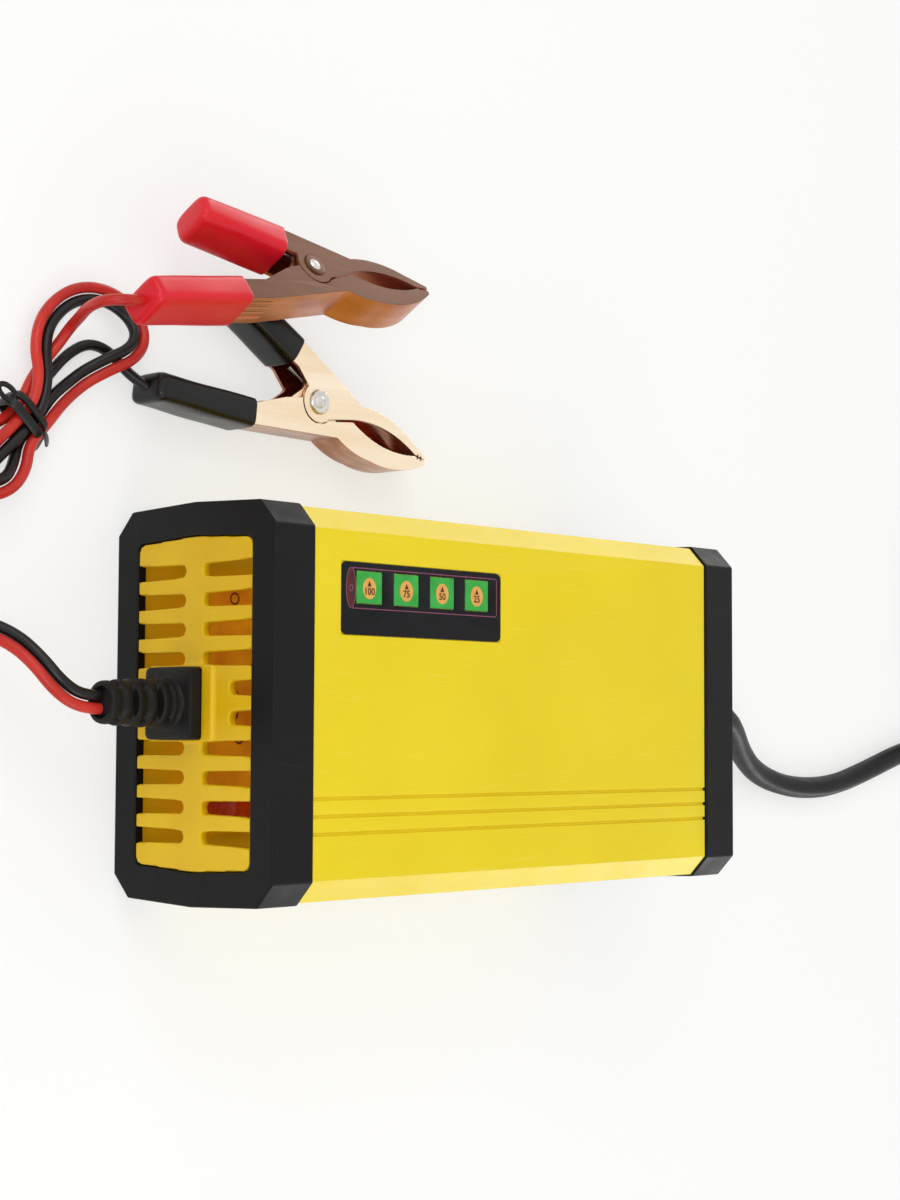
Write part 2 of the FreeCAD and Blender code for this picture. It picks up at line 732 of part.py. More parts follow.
def display():
    """The dark film with its four light windows, and the lamp board that hangs behind them."""
    film = new_body("DisplayFilm", z=f"{HALF_THICK} + {SHELL_TOP} - film_recess")
    outline = box_corners(DISPLAY_X, DISPLAY_Y, "display_length", "display_width")
    windows = [box_corners(x, y, "lamp_length", "lamp_width") for x, y in lamp_places()]
    extrude("Pad", film, outlines(film, "FilmOutline", "XY", [outline] + windows), "film_thickness")
    round_edges(
        film,
        "film_corner",
        lambda edge: along(edge, Z_AXIS)
        and abs(edge.Vertexes[0].Point.y - value_of(DISPLAY_Y)) > size("display_width") / 2 - 0.01,
        "FilmCorners",
    )
    node("display_film", film)
    base = f"{HALF_THICK} + {SHELL_TOP} - film_recess"
    lens, width = "lamp_length - 2 * lens_gap", "lamp_width - 2 * lens_gap"
    places = enumerate(lamp_places(), 1)
    lenses = [block(f"Lens{i}", x, y, base, lens, width, "film_thickness") for i, (x, y) in places]
    group("light_windows", lenses)
    top = f"{HALF_THICK} + {SHELL_TOP} - shell_wall - lamp_height - lamp_gap"
    board = new_body("DisplayBoard", z=f"{top} - small_board")
    long, wide = "display_length - 2 * board_inset", "display_width - 2 * board_inset"
    plate = box_corners(DISPLAY_X, DISPLAY_Y, long, wide)
    extrude("Pad", board, outlines(board, "DisplayBoardOutline", "XY", [plate]), "small_board")
    holes = circles(board, "DisplayBoardHoles", display_posts(), "small_pin + 0.2", "0")
    extrude("Pocket", board, holes, "small_board", backwards=True)
    node("display_board", board)
    lamps = []
    for i, (x, y) in enumerate(lamp_places(), 1):
        stem = drum(f"LampStem{i}", x, y, top, "lamp_diameter", "lamp_height - lamp_diameter / 2")
        dome = doc.addObject("Part::Sphere", f"LampDome{i}")
        dome.setExpression("Radius", cell("lamp_diameter / 2"))
        dome.Angle1 = 0
        height = f"{top} + lamp_height - lamp_diameter / 2"
        for axis, value in (("x", x), ("y", y), ("z", height)):
            dome.setExpression("Placement.Base." + axis, cell(value))
        lamps.append(fuse(f"Lamp{i}", [stem, dome]))
    group("indicator_leds", lamps)


def main_board():
    """The circuit board on the rear shell's posts, with what stands on it."""
    board = new_body("MainBoard", z=BOARD_BASE)
    extrude("Pad", board, outlines(board, "BoardOutline", "XY", [
        box_corners("0", "0", BOARD_LENGTH, BOARD_WIDTH)
    ]), "board_thickness")
    holes = circles(board, "BoardHoles", corners_of_four(POST_X, POST_Y), "pin_diameter + 0.2", "0")
    extrude("Pocket", board, holes, "board_thickness", backwards=True)
    node("main_board", board)

    core = new_body("TransformerCore", x=TRANSFORMER_X, z=BOARD_TOP)
    leg = "( core_leg / 2 )"
    half = "( core_width / 2 )"
    top, low = "( core_height - core_yoke )", "core_yoke"
    openings = [
        [(f"{s} * ( {a} )", low), (f"{s} * ( {b} )", low), (f"{s} * ( {b} )", top), (f"{s} * ( {a} )", top)]
        for s, a, b in (
            ("1", leg, f"{half} - {leg}"),
            ("-1", f"{half} - {leg}", leg),
        )
    ]
    frame = [(f"0 - {half}", "0"), (half, "0"), (half, "core_height"), (f"0 - {half}", "core_height")]
    sketch = outlines(core, "CoreOutline", "XZ", [frame] + openings)
    extrude("Pad", core, sketch, "core_depth", midplane=True)
    node("transformer_core", core)

    winding = new_body("TransformerWinding", x=TRANSFORMER_X, z=f"{BOARD_TOP} + core_yoke")
    wide = "core_width - core_leg - 2 * winding_gap"
    deep = "core_depth + ( core_width - 2 * core_leg )"
    loop = [
        box_corners("0", "0", wide, deep),
        box_corners("0", "0", "core_leg + 2 * winding_gap", "core_depth + 2 * winding_gap"),
    ]
    extrude("Pad", winding, outlines(winding, "WindingOutline", "XY", loop),
            "core_height - 2 * core_yoke - winding_gap")
    round_edges(
        winding,
        "winding_corner",
        lambda edge: along(edge, Z_AXIS)
        and abs(edge.Vertexes[0].Point.y) > value_of(deep) / 2 - 0.01,
        "WindingCorners",
    )
    node("transformer_winding", winding)

    can = drum("MainsCan", f"{BOARD_END} - mains_can_end", "mains_can_y", BOARD_TOP,
               "mains_can_diameter", "mains_can_height")
    node("mains_capacitor", can)
    cans = [
        drum(f"OutputCan{i}", f"can_edge - {BOARD_END}", f"( {k} ) * can_pitch", BOARD_TOP,
             "can_diameter", "can_height")
        for i, k in enumerate(("-0.5", "0.5", "1.5"), 1)
    ]
    group("output_capacitors", cans)

    sink = new_body("Heatsink", x="sink_x", z=BOARD_TOP)
    outer = f"( sink_edge - {BOARD_EDGE} )"
    back = f"( {outer} + sink_depth )"
    left, right = "( 0 - sink_length / 2 )", "( sink_length / 2 )"
    outline = [(left, back), (left, outer)]
    for k in range(4):
        start = f"( {left} + {k} * sink_pitch + sink_fin )"
        end = f"( {left} + {k + 1} * sink_pitch )"
        floor = f"{back} - sink_plate"
        outline += [(start, outer), (start, floor), (end, floor), (end, outer)]
    last = f"{left} + 4 * sink_pitch + sink_fin"
    outline += [(last, outer), (last, back)]
    extrude("Pad", sink, outlines(sink, "SinkOutline", "XY", [outline]), "sink_height")
    hole = circles(sink, "SinkHole", [("0", "tab_hole_height")], "tab_screw + 0.1", "0", plane="XZ")
    extrude("Pocket", sink, hole, BOARD_WIDTH, midplane=True)
    node("heatsink", sink)
    power_transistor(f"( sink_edge - {BOARD_EDGE} + sink_depth )")
    rectifier()
    fuse_and_clips()
    node("suppression_capacitor", block(
        "SuppressionCapacitor", f"{BOARD_END} - filter_end", "filter_y", BOARD_TOP,
        "filter_length", "filter_width", "filter_height"))
    node("film_capacitor", block(
        "FilmCapacitor", f"film_end - {BOARD_END}", f"film_edge - {BOARD_EDGE}", BOARD_TOP,
        "film_length", "film_width", "film_height"))
    chip = block("ControlChip", "control_x", "chip_y", BOARD_TOP, "chip_length", "chip_width", "chip_height")
    parts = [chip]
    for k in range(4):
        place = f"resistor_start + {k} * resistor_pitch"
        parts.append(block(f"Resistor{k}", "control_x", place, BOARD_TOP,
                           "resistor_length", "resistor_width", "resistor_width"))
    group("control_parts", parts)


def power_transistor(face):
    """The power transistor on the heatsink's face, and the screw through both."""
    base = f"{BOARD_TOP} + leg_height"
    front = f"{face} + moulding_depth"
    tab = block("TransistorTab", "sink_x", f"{face} + tab_thickness / 2", base,
                "tab_width", "tab_thickness", "tab_height")
    case = block("TransistorCase", "sink_x", f"{face} + tab_thickness / 2 + moulding_depth / 2", base,
                 "tab_width", "moulding_depth", "moulding_height")
    legs = [
        block(f"TransistorLeg{k}", f"sink_x + ( {k - 2} ) * leg_pitch", f"{front} - 2 * leg_width + 0.6",
              BOARD_TOP, "leg_width", "leg_thickness", "leg_height + 0.5")
        for k in (1, 2, 3)
    ]
    package = fuse("TransistorPackage", [tab, case] + legs)
    height = f"{BOARD_TOP} + tab_hole_height"
    towards = Rotation(X_AXIS, 90)
    hole = drum("TabHole", "sink_x", f"{face} + 2 * tab_thickness", height,
                "tab_screw + 0.1", "3 * tab_thickness", towards)
    node("power_transistor", cut("PowerTransistor", package, hole))
    head = drum("TabScrewHead", "sink_x", f"{face} + tab_thickness + tab_screw_depth", height,
                "tab_screw_head", "tab_screw_depth", towards)
    stem = drum("TabScrewStem", "sink_x", f"{face} + tab_thickness + 0.1", height,
                "tab_screw", "tab_thickness + sink_plate + 2.1", towards)
    node("heatsink_screw", fuse("HeatsinkScrew", [head, stem]))


def rectifier():
    """A bridge rectifier that stands on four legs."""
    place = f"{BOARD_END} - rectifier_end"
    body = block("RectifierCase", place, "0", f"{BOARD_TOP} + rectifier_leg",
                 "rectifier_length", "rectifier_depth", "rectifier_height")
    legs = [
        block(f"RectifierLeg{k}", f"{place} + ( {k - 2.5} ) * rectifier_pitch", "0", BOARD_TOP,
              "leg_width + 0.2", "leg_thickness", "rectifier_leg + 0.5")
        for k in (1, 2, 3, 4)
    ]
    node("rectifier", fuse("Rectifier", [body] + legs))


def fuse_and_clips():
    """A glass fuse along the board, held by two clips."""
    place, across = f"{BOARD_END} - fuse_end", f"fuse_edge - {BOARD_EDGE}"
    height = f"{BOARD_TOP} + fuse_height"
    tube = drum("FuseTube", place, across, height, "fuse_diameter", "fuse_length", Rotation(Y_AXIS, 90))
    clips = []
    for k in (0, 1):
        x = f"{place} + seat_inset + {k} * seat_pitch"
        seat = block(f"FuseSeat{k}", x, across, BOARD_TOP, "seat_length", "seat_width", "seat_height")
        room = drum(f"FuseRoom{k}", f"{x} - seat_length", across, height,
                    "fuse_diameter + 0.2", "2 * seat_length", Rotation(Y_AXIS, 90))
        clips.append(cut(f"FuseClip{k}", seat, room))
    node("fuse", tube)
    group("fuse_clips", clips)


def case_screws():
    """Four screws that hold the shells together from the back."""
    screws = []
    shank = "case_thickness / 2 - shell_step - screw_head_depth - 0.4 + screw_grip"
    for i, (x, y) in enumerate(corners_of_four(SCREW_X, SCREW_Y), 1):
        head = drum(f"ScrewHead{i}", x, y, "shell_step + 0.4", "screw_head", "screw_head_depth")
        stem = drum(f"ScrewStem{i}", x, y, "shell_step + screw_head_depth + 0.4", "screw_diameter", shank)
        screws.append(fuse(f"Screw{i}", [head, stem]))
    group("case_screws", screws)


def shape_node(label, shape, placement=None):
    """A sub-part whose shape is set here."""
    feature = doc.addObject("Part::Feature", "".join(word.title() for word in label.split("_")))
    feature.Shape = shape
    if placement is not None:
        feature.Placement = placement.multiply(shape.Placement)
    return node(label, feature)


def flat_wire(corners):
    """A closed wire: each corner is (a, b), or (through a, through b, a, b) at the end of an arc."""
    edges = []
    here = Vector(*corners[-1][-2:], 0)
    for corner in corners:
        there = Vector(*corner[-2:], 0)
        if len(corner) == 4:
            edges.append(Part.Arc(here, Vector(*corner[:2], 0), there).toShape())
        else:
            edges.append(Part.LineSegment(here, there).toShape())
        here = there
    return Part.Wire(edges)


def slab(corners, thickness, middle=0.0):
    """A plate of a given outline, about a middle height."""
    face = Part.Face(flat_wire(corners))
    plate = face.extrude(Vector(0, 0, thickness))
    plate.translate(Vector(0, 0, middle - thickness / 2))
    return plate


def polar(radius, degrees):
    """A point of a circle about the rivet."""
    return radius * math.cos(math.radians(degrees)), radius * math.sin(math.radians(degrees))


def handle_line(tilt, at, run, side):
    """A point of a handle's straight edge, run further out from at."""
    turn = math.radians(tilt)
    return at[0] - run * math.cos(turn), at[1] + side * run * math.sin(turn)


def across_handle(tilt, at, reach, side):
    """A point square across a handle from its outer edge, side 1 being the upper handle."""
    turn = math.radians(tilt)
    return at[0] - reach * math.sin(turn), at[1] - side * reach * math.cos(turn)


LOBE = 3.95  # radius of the moving half's cheeks round the rivet
TAB = 4.3  # radius of the fixed half's tabs round the rivet


def rivet_hole():
    """What the rivet needs through either half."""
    radius, long = size("rivet_diameter") / 2 + size("rivet_play"), size("clip_width") + 2
    return Part.makeCylinder(radius, long, Vector(0, 0, -long / 2))


def teeth(side):
    """Two small notches at a jaw's nose."""
    reach, gap = size("jaw_reach"), size("jaw_gap") / 2
    notches = []
    for k in (1, 2):
        at = reach - 0.3 - 0.9 * k
        notch = [(at - 0.35, side * (gap - 0.1)), (at + 0.35, side * (gap - 0.1)), (at, side * (gap + 0.45))]
        notches.append(slab(notch, size("clip_width") + 2))
    return notches


def channel_of(outline, shift, tip):
    """A plate bent into a channel: an outline's full width, hollowed from its open side."""
    width, sheet_thickness = size("clip_width"), size("clip_sheet")
    solid = slab(outline, width)
    room = slab(shift, width - 2 * sheet_thickness)
    far = 2 * (size("jaw_reach") + size("long_handle"))
    stop = Part.makeBox(far, far, width, Vector(tip - far, -far / 2, -width / 2))
    return solid.cut(room.common(stop))


def fixed_half():
    """The lower jaw and its long handle, bent from one sheet, with two tabs that carry the rivet."""
    width, thick, play = size("clip_width"), size("clip_sheet"), size("clip_play")
    reach, gap, bulge = size("jaw_reach"), size("jaw_gap") / 2, size("jaw_bulge")
    root = (-14.0, -10.4)
    end = handle_line(size("long_handle_tilt"), root, size("long_handle") + root[0], -1)
    tall = size("long_handle_depth") * math.cos(math.radians(size("long_handle_tilt")))
    seam = polar(LOBE + size("jaw_gap"), -40)
    bottom = [
        end,
        root,
        (6.5, -4.8),
        (10.5, -bulge - 0.8, 16.0, -bulge - 0.9),
        (24.0, -bulge + 0.4, reach, -1.0),
    ]
    top = [
        (reach, -gap),
        (reach - 3.0, -gap),
        (18.0, -size("eye_depth") - gap, 9.6, -0.3),
        seam,
        polar(LOBE + size("jaw_gap"), -100) + polar(LOBE + size("jaw_gap"), -169),
        (-8.2, -2.4),
        across_handle(size("long_handle_tilt"), root, tall, -1),
        across_handle(size("long_handle_tilt"), end, tall, -1),
    ]
    lift = (0.12, thick * 1.02)
    inner = [(p[0] + lift[0], p[1] + lift[1]) if len(p) == 2 else
             (p[0] + lift[0], p[1] + lift[1], p[2] + lift[0], p[3] + lift[1]) for p in bottom]
    inner[0] = (end[0] - 5, end[1] + lift[1] - 5 * math.tan(math.radians(size("long_handle_tilt"))))
    room = inner + [(reach + 0.5, 12.0), (end[0] - 5, 12.0)]
    solid = channel_of(bottom + top, room, reach - thick)
    for notch in teeth(-1):
        solid = solid.cut(notch)
    tab_thickness = thick + play
    middle = width / 2 - thick - play - tab_thickness / 2
    tab = [
        (6.6, -3.2),
        (4.2, 1.5),
        polar(TAB, 90) + polar(TAB, 165),
        (-8.0, -3.4),
        (-8.0, -8.4),
        (4.5, -4.9),
    ]
    joint = [(7.0, -3.4), (-8.0, -4.4), (-8.0, -8.4), (6.0, -4.6)]
    for side in (-1, 1):
        plate = slab(tab, tab_thickness, side * middle)
        bridge = slab(joint, play + 0.2, side * (middle + tab_thickness / 2 + play / 2))
        below = Part.Face(flat_wire(bottom[:3] + [(6.5, 8.0), (end[0], 8.0)])).extrude(Vector(0, 0, width))
        below.translate(Vector(0, 0, -width / 2))
        cheek_room = slab(top_clearance(), play + 0.3, side * (middle + tab_thickness / 2 + play / 2))
        solid = solid.fuse(plate.common(below)).fuse(bridge.common(below).cut(cheek_room))
    return solid.cut(rivet_hole()).removeSplitter()


def top_clearance():
    """Where the moving half's cheeks lie, with their gap, over the fixed half's tabs."""
    lobe = LOBE + size("jaw_gap")
    low = [(12.0, 0.6), polar(lobe, -40), polar(lobe, -100) + polar(lobe, -169), (-12.0, 2.0)]
    return low + [(-12.0, 12.0), (12.0, 12.0)]


def moving_half(colour):
    """The upper jaw and its short handle, whose cheeks turn outside the fixed half's tabs."""
    width, thick = size("clip_width"), size("clip_sheet")
    reach, gap, bulge = size("jaw_reach"), size("jaw_gap") / 2, size("jaw_bulge")
    root, tilt = (-3.0, size(colour + "_handle_rise")), size(colour + "_handle_tilt")
    end = handle_line(tilt, root, size("short_handle") + root[0], 1)
    outer = [
        end,
        root,
        (11.0, 3.7),
        (17.0, bulge - 0.7, 23.0, bulge - 1.7),
        (reach, 0.8),
    ]
    under = [
        (reach, gap),
        (reach - 3.0, gap),
        (18.0, size("eye_depth") + gap - 0.1, 9.5, 0.25),
        polar(LOBE, -37),
        polar(LOBE, -90) + polar(LOBE, -180),
        polar(LOBE, 165) + polar(LOBE, 150),
        (-7.0, root[1] + 4.0 * math.tan(math.radians(tilt)) - size("short_handle_depth")),
        across_handle(tilt, end, size("short_handle_depth") * math.cos(math.radians(tilt)), 1),
    ]
    drop = (-0.18, -thick * 1.03)
    inner = [(p[0] + drop[0], p[1] + drop[1]) if len(p) == 2 else
             (p[0] + drop[0], p[1] + drop[1], p[2] + drop[0], p[3] + drop[1]) for p in outer]
    inner[0] = (end[0] - 5, end[1] + drop[1] + 5 * math.tan(math.radians(tilt)))
    room = inner + [(reach + 0.5, -12.0), (end[0] - 5, -12.0)]
    solid = channel_of(outer + under, room, reach - thick)
    for notch in teeth(1):
        solid = solid.cut(notch)
    return solid.cut(rivet_hole()).removeSplitter()


def rivet():
    """A shank through both halves, with a low dome at each end."""
    half, gap = size("clip_width") / 2, 0.05
    radius, head, dome = size("rivet_diameter") / 2, size("rivet_head") / 2, size("rivet_dome")
    flat = head * 0.2
    profile = [
        (0, half + gap + dome),
        (flat, half + gap + dome),
        (head * 0.72, half + gap + dome * 0.74, head, half + gap),
        (radius, half + gap),
        (radius, -half - gap),
        (head, -half - gap),
        (head * 0.72, -half - gap - dome * 0.74, flat, -half - gap - dome),
        (0, -half - gap - dome),
    ]
    face = Part.Face(flat_wire(profile))
    turned = face.revolve(Vector(0, 0, 0), Y_AXIS, 360)
    return turned.transformed(Placement(Vector(), Rotation(X_AXIS, 90)).toMatrix())


def biarc(start, out, end, onward):
    """Two tangent arcs from one point and direction to another."""
    span = end - start
    a = 2 * (out.dot(onward) - 1)
    b = -2 * span.dot(out + onward)
    c = span.dot(span)
    if abs(a) < 1e-9:
        reach = -c / b
    else:
        root = math.sqrt(b * b - 4 * a * c)
        reach = max((-b - root) / (2 * a), (-b + root) / (2 * a))
    first, last = start + out * reach, end - onward * reach
    joint = (first + last) * 0.5
    return [arc_from(start, out, joint), arc_from(end, onward * -1, joint, backwards=True)]


def arc_from(start, out, end, backwards=False):
    """An arc that leaves a point in a direction and ends at another point."""
    span = end - start
    side = span - out * span.dot(out)
    if side.Length < 1e-7:
        ends = (end, start) if backwards else (start, end)
        return Part.LineSegment(*ends).toShape()
    side.normalize()
    radius = span.dot(span) / (2 * span.dot(side))
    centre = start + side * radius
    half = ((start - centre) + (end - centre)) * 0.5
    if half.Length < 1e-7:
        half = out * 1.0
    half.normalize()
    if half.dot(out) < 0:
        half = half * -1
    middle = centre + half * radius
    if backwards:
        return Part.Arc(end, middle, start).toShape()
    return Part.Arc(start, middle, end).toShape()


def pipe(edges, diameter):
    """A round section carried along tangent edges."""
    path = Part.Wire(edges)
    first = edges[0]
    start = first.valueAt(first.FirstParameter)
    heading = first.tangentAt(first.FirstParameter)
    ring = Part.Wire([Part.makeCircle(diameter / 2, start, heading)])
    return path.makePipeShell([ring], True, False)


def check_tube(label, solid, edges, diameter):
    """Prints a tube's length, and its volume beside its section times that length."""
    length = sum(edge.Length for edge in edges)
    expected = math.pi * diameter ** 2 / 4 * length
    print(f"{label}: length {length:.1f}, volume {solid.Volume:.1f}, section by length {expected:.1f}")


def route_edges(label, points):
    """Straight runs joined by tangent arcs; prints the arcs' radii."""
    points = [Vector(*p) for p in points]
    edges, radii = [], []
    here = points[0]
    for before, corner, after in zip(points, points[1:], points[2:]):
        come, leave = corner - before, after - corner
        turn = come.getAngle(leave)
        reach = 0.45 * min(come.Length, leave.Length)
        come.normalize()
        leave.normalize()
        radius = reach / math.tan(turn / 2)
        radii.append(round(radius, 1))
        start, end = corner - come * reach, corner + leave * reach
        inward = leave - come
        inward.normalize()
        middle = corner + inward * (radius / math.cos(turn / 2) - radius)
        edges.append(Part.LineSegment(here, start).toShape())
        edges.append(Part.Arc(start, middle, end).toShape())
        here = end
    edges.append(Part.LineSegment(here, points[-1]).toShape())
    print(f"{label}: radii {radii}")
    return edges


def tube(label, points, diameter):
    """A round tube along a route."""
    edges = route_edges(label, points)
    solid = pipe(edges, diameter)
    check_tube(label, solid, edges, diameter)
    return solid


def cord(label, points, diameter):
    """A cord's free stretch along its route."""
    return shape_node(label, tube(label, points, diameter))


class Spiral:
    """Piled turns: in and out again at a steady rate, in two layers."""

    BLEND = 0.15  # share of a turn, each way, over which the spiral reverses

    def __init__(self, centre, start, turns, radius, pitch, low, high, outset=0.0):
        self.centre, self.start, self.turns = centre, start, turns
        self.radius, self.pitch, self.low, self.high, self.outset = radius, pitch, low, high, outset

    def point(self, turned):
        """The place after so many turns."""
        half = self.turns / 2
        away = abs(turned - half)
        if away < self.BLEND:
            away = self.BLEND / 2 + away ** 2 / (2 * self.BLEND)
        radius = self.radius - self.pitch * (half - away) + self.outset
        rise = min(max((turned - half + 0.25) / 0.5, 0.0), 1.0)
        height = self.low + (self.high - self.low) * rise * rise * (3 - 2 * rise)
        angle = math.radians(self.start) + 2 * math.pi * turned
        x, y = self.centre
        return Vector(x + radius * math.cos(angle), y + radius * math.sin(angle), height)

    def heading(self, turned):
        """The direction there."""
        step = 1e-4
        way = self.point(turned + step) - self.point(turned - step)
        way.normalize()
        return way


def coil(label, spiral, diameter):
    """One unbroken coiled stretch of a cord, straight for one diameter at each end."""
    steps = max(4, round(spiral.turns * 4))
    marks = [spiral.turns * k / steps for k in range(steps + 1)]
    first, last = spiral.heading(0), spiral.heading(spiral.turns)
    begin, finish = spiral.point(0), spiral.point(spiral.turns)
    edges = [Part.LineSegment(begin - first * diameter, begin).toShape()]
    for a, b in zip(marks, marks[1:]):
        edges += biarc(spiral.point(a), spiral.heading(a), spiral.point(b), spiral.heading(b))
    edges.append(Part.LineSegment(finish, finish + last * diameter).toShape())
    solid = pipe(edges, diameter)
    check_tube(label, solid, edges, diameter)
    print(f"{label}: least gap to itself {own_gap(edges, diameter):.2f}")
    return shape_node(label, solid)


def own_gap(edges, diameter):
    """The least clear space between turns that lie side by side, measured on points."""
    points, places, walked = [], [], 0.0
    for edge in edges:
        count = max(2, int(edge.Length / 1.5))
        points += edge.discretize(count + 1)[:-1]
        places += [walked + edge.Length * k / count for k in range(count)]
        walked += edge.Length
    least = 1e9
    for i, a in enumerate(points):
        for j in range(i + 1, len(points)):
            if places[j] - places[i] > 6 * diameter:
                least = min(least, (points[j] - a).Length - diameter)
    return least


def beside(points, offset):
    """The same route, offset to its right in plan, with its heights as they are."""
    moved = []
    for i, (x, y, z) in enumerate(points):
        before = points[max(i - 1, 0)]
        after = points[min(i + 1, len(points) - 1)]
        come = Vector(x - before[0], y - before[1], 0)
        leave = Vector(after[0] - x, after[1] - y, 0)
        if come.Length < 1e-9:
            come = leave
        if leave.Length < 1e-9:
            leave = come
        come.normalize()
        leave.normalize()
        mean = come + leave
        mean.normalize()
        reach = offset / max(mean.dot(come), 0.5)
        moved.append((x + mean.y * reach, y - mean.x * reach, z))
    return moved


def sleeve(tilt, root, depth, start, finish, side):
    """A closed-ended insulating sleeve over a handle, from start to finish along it."""
    wall, play = size("sleeve_wall"), size("sleeve_play")
    tall = depth * math.cos(math.radians(tilt))
    outer_width, outer_height = size("clip_width") + 2 * (wall + play), tall + 2 * (wall + play)
    length = finish - start
    corner = Vector(-finish, -outer_height / 2, -outer_width / 2)
    skin = Part.makeBox(length, outer_height, outer_width, corner)
    long_edges = [e for e in skin.Edges if along(e, X_AXIS)]
    skin = skin.makeFillet(size("sleeve_corner"), long_edges)
    bore_height, bore_width = tall + 2 * play, size("clip_width") + 2 * play
    bore = Part.makeBox(length, bore_height, bore_width,
                        Vector(-finish + size("sleeve_cap"), -bore_height / 2, -bore_width / 2))
    skin = skin.cut(bore)
    middle = Vector(*across_handle(tilt, root, tall / 2, side), 0)
    return skin.transformed(Placement(middle, Rotation(Z_AXIS, -side * tilt)).toMatrix())


LONG_ROOT = (-14.0, -10.4)


def long_sleeve(slip):
    """The fixed handle's sleeve, and where its outer end's middle lies."""
    reach = size("long_handle") + LONG_ROOT[0] + size("sleeve_cap") + size("sleeve_room")
    finish = reach + slip
    solid = sleeve(size("long_handle_tilt"), LONG_ROOT, size("long_handle_depth"),
                   finish - size("long_sleeve"), finish, -1)
    tilt = size("long_handle_tilt")
    tall = size("long_handle_depth") * math.cos(math.radians(tilt))
    outer = handle_line(tilt, LONG_ROOT, finish, -1)
    return solid, Vector(*across_handle(tilt, outer, tall / 2, -1), 0)


def short_sleeve(colour):
    """The moving handle's sleeve."""
    root = (-3.0, size(colour + "_handle_rise"))
    finish = size("short_handle") + root[0] + size("sleeve_cap") + size("sleeve_room")
    return sleeve(size(colour + "_handle_tilt"), root, size("short_handle_depth"),
                  finish - size(colour + "_short_sleeve"), finish, 1)


def spring(label):
    """A torsion spring round the rivet, one leg along each handle."""
    wire, leg = size("spring_wire"), size("spring_leg")
    radius = size("rivet_diameter") / 2 + size("spring_room") + wire / 2
    pitch = wire + size("turn_gap")
    start, finish = -76.0, 74.0
    turns = size("spring_turns") + (finish - start) / 360
    low = -pitch * turns / 2

    def place(turned):
        angle = math.radians(start) + 2 * math.pi * turned
        return Vector(radius * math.cos(angle), radius * math.sin(angle), low + pitch * turned)

    def way(turned):
        angle = math.radians(start) + 2 * math.pi * turned
        rise = 0 if turned in (0, turns) else pitch / (2 * math.pi)
        heading = Vector(-radius * math.sin(angle), radius * math.cos(angle), rise)
        heading.normalize()
        return heading

    steps = round(turns * 4)
    marks = [turns * k / steps for k in range(steps)] + [turns]
    edges = [Part.LineSegment(place(0) - way(0) * leg, place(0)).toShape()]
    for a, b in zip(marks, marks[1:]):
        edges += biarc(place(a), way(a), place(b), way(b))
    edges.append(Part.LineSegment(place(turns), place(turns) + way(turns) * leg).toShape())
    solid = pipe(edges, wire)
    check_tube(label, solid, edges, wire)
    print(f"{label}: least gap to itself {own_gap(edges, wire):.2f}")
    return solid


def clip(colour, place, slip):
    """One clip's six pieces, laid where it lies; gives where its lead enters and which way."""
    shape_node(f"{colour}_fixed_jaw", fixed_half(), place)
    shape_node(f"{colour}_moving_jaw", moving_half(colour), place)
    shape_node(f"{colour}_rivet", rivet(), place)
    shape_node(f"{colour}_spring", spring(f"{colour}_spring"), place)
    solid, end = long_sleeve(slip)
    shape_node(f"{colour}_fixed_sleeve", solid, place)
    shape_node(f"{colour}_moving_sleeve", short_sleeve(colour), place)
    turn = math.radians(size("long_handle_tilt"))
    inward = Vector(math.cos(turn), math.sin(turn), 0)
    return place.multVec(end), place.Rotation.multVec(inward)


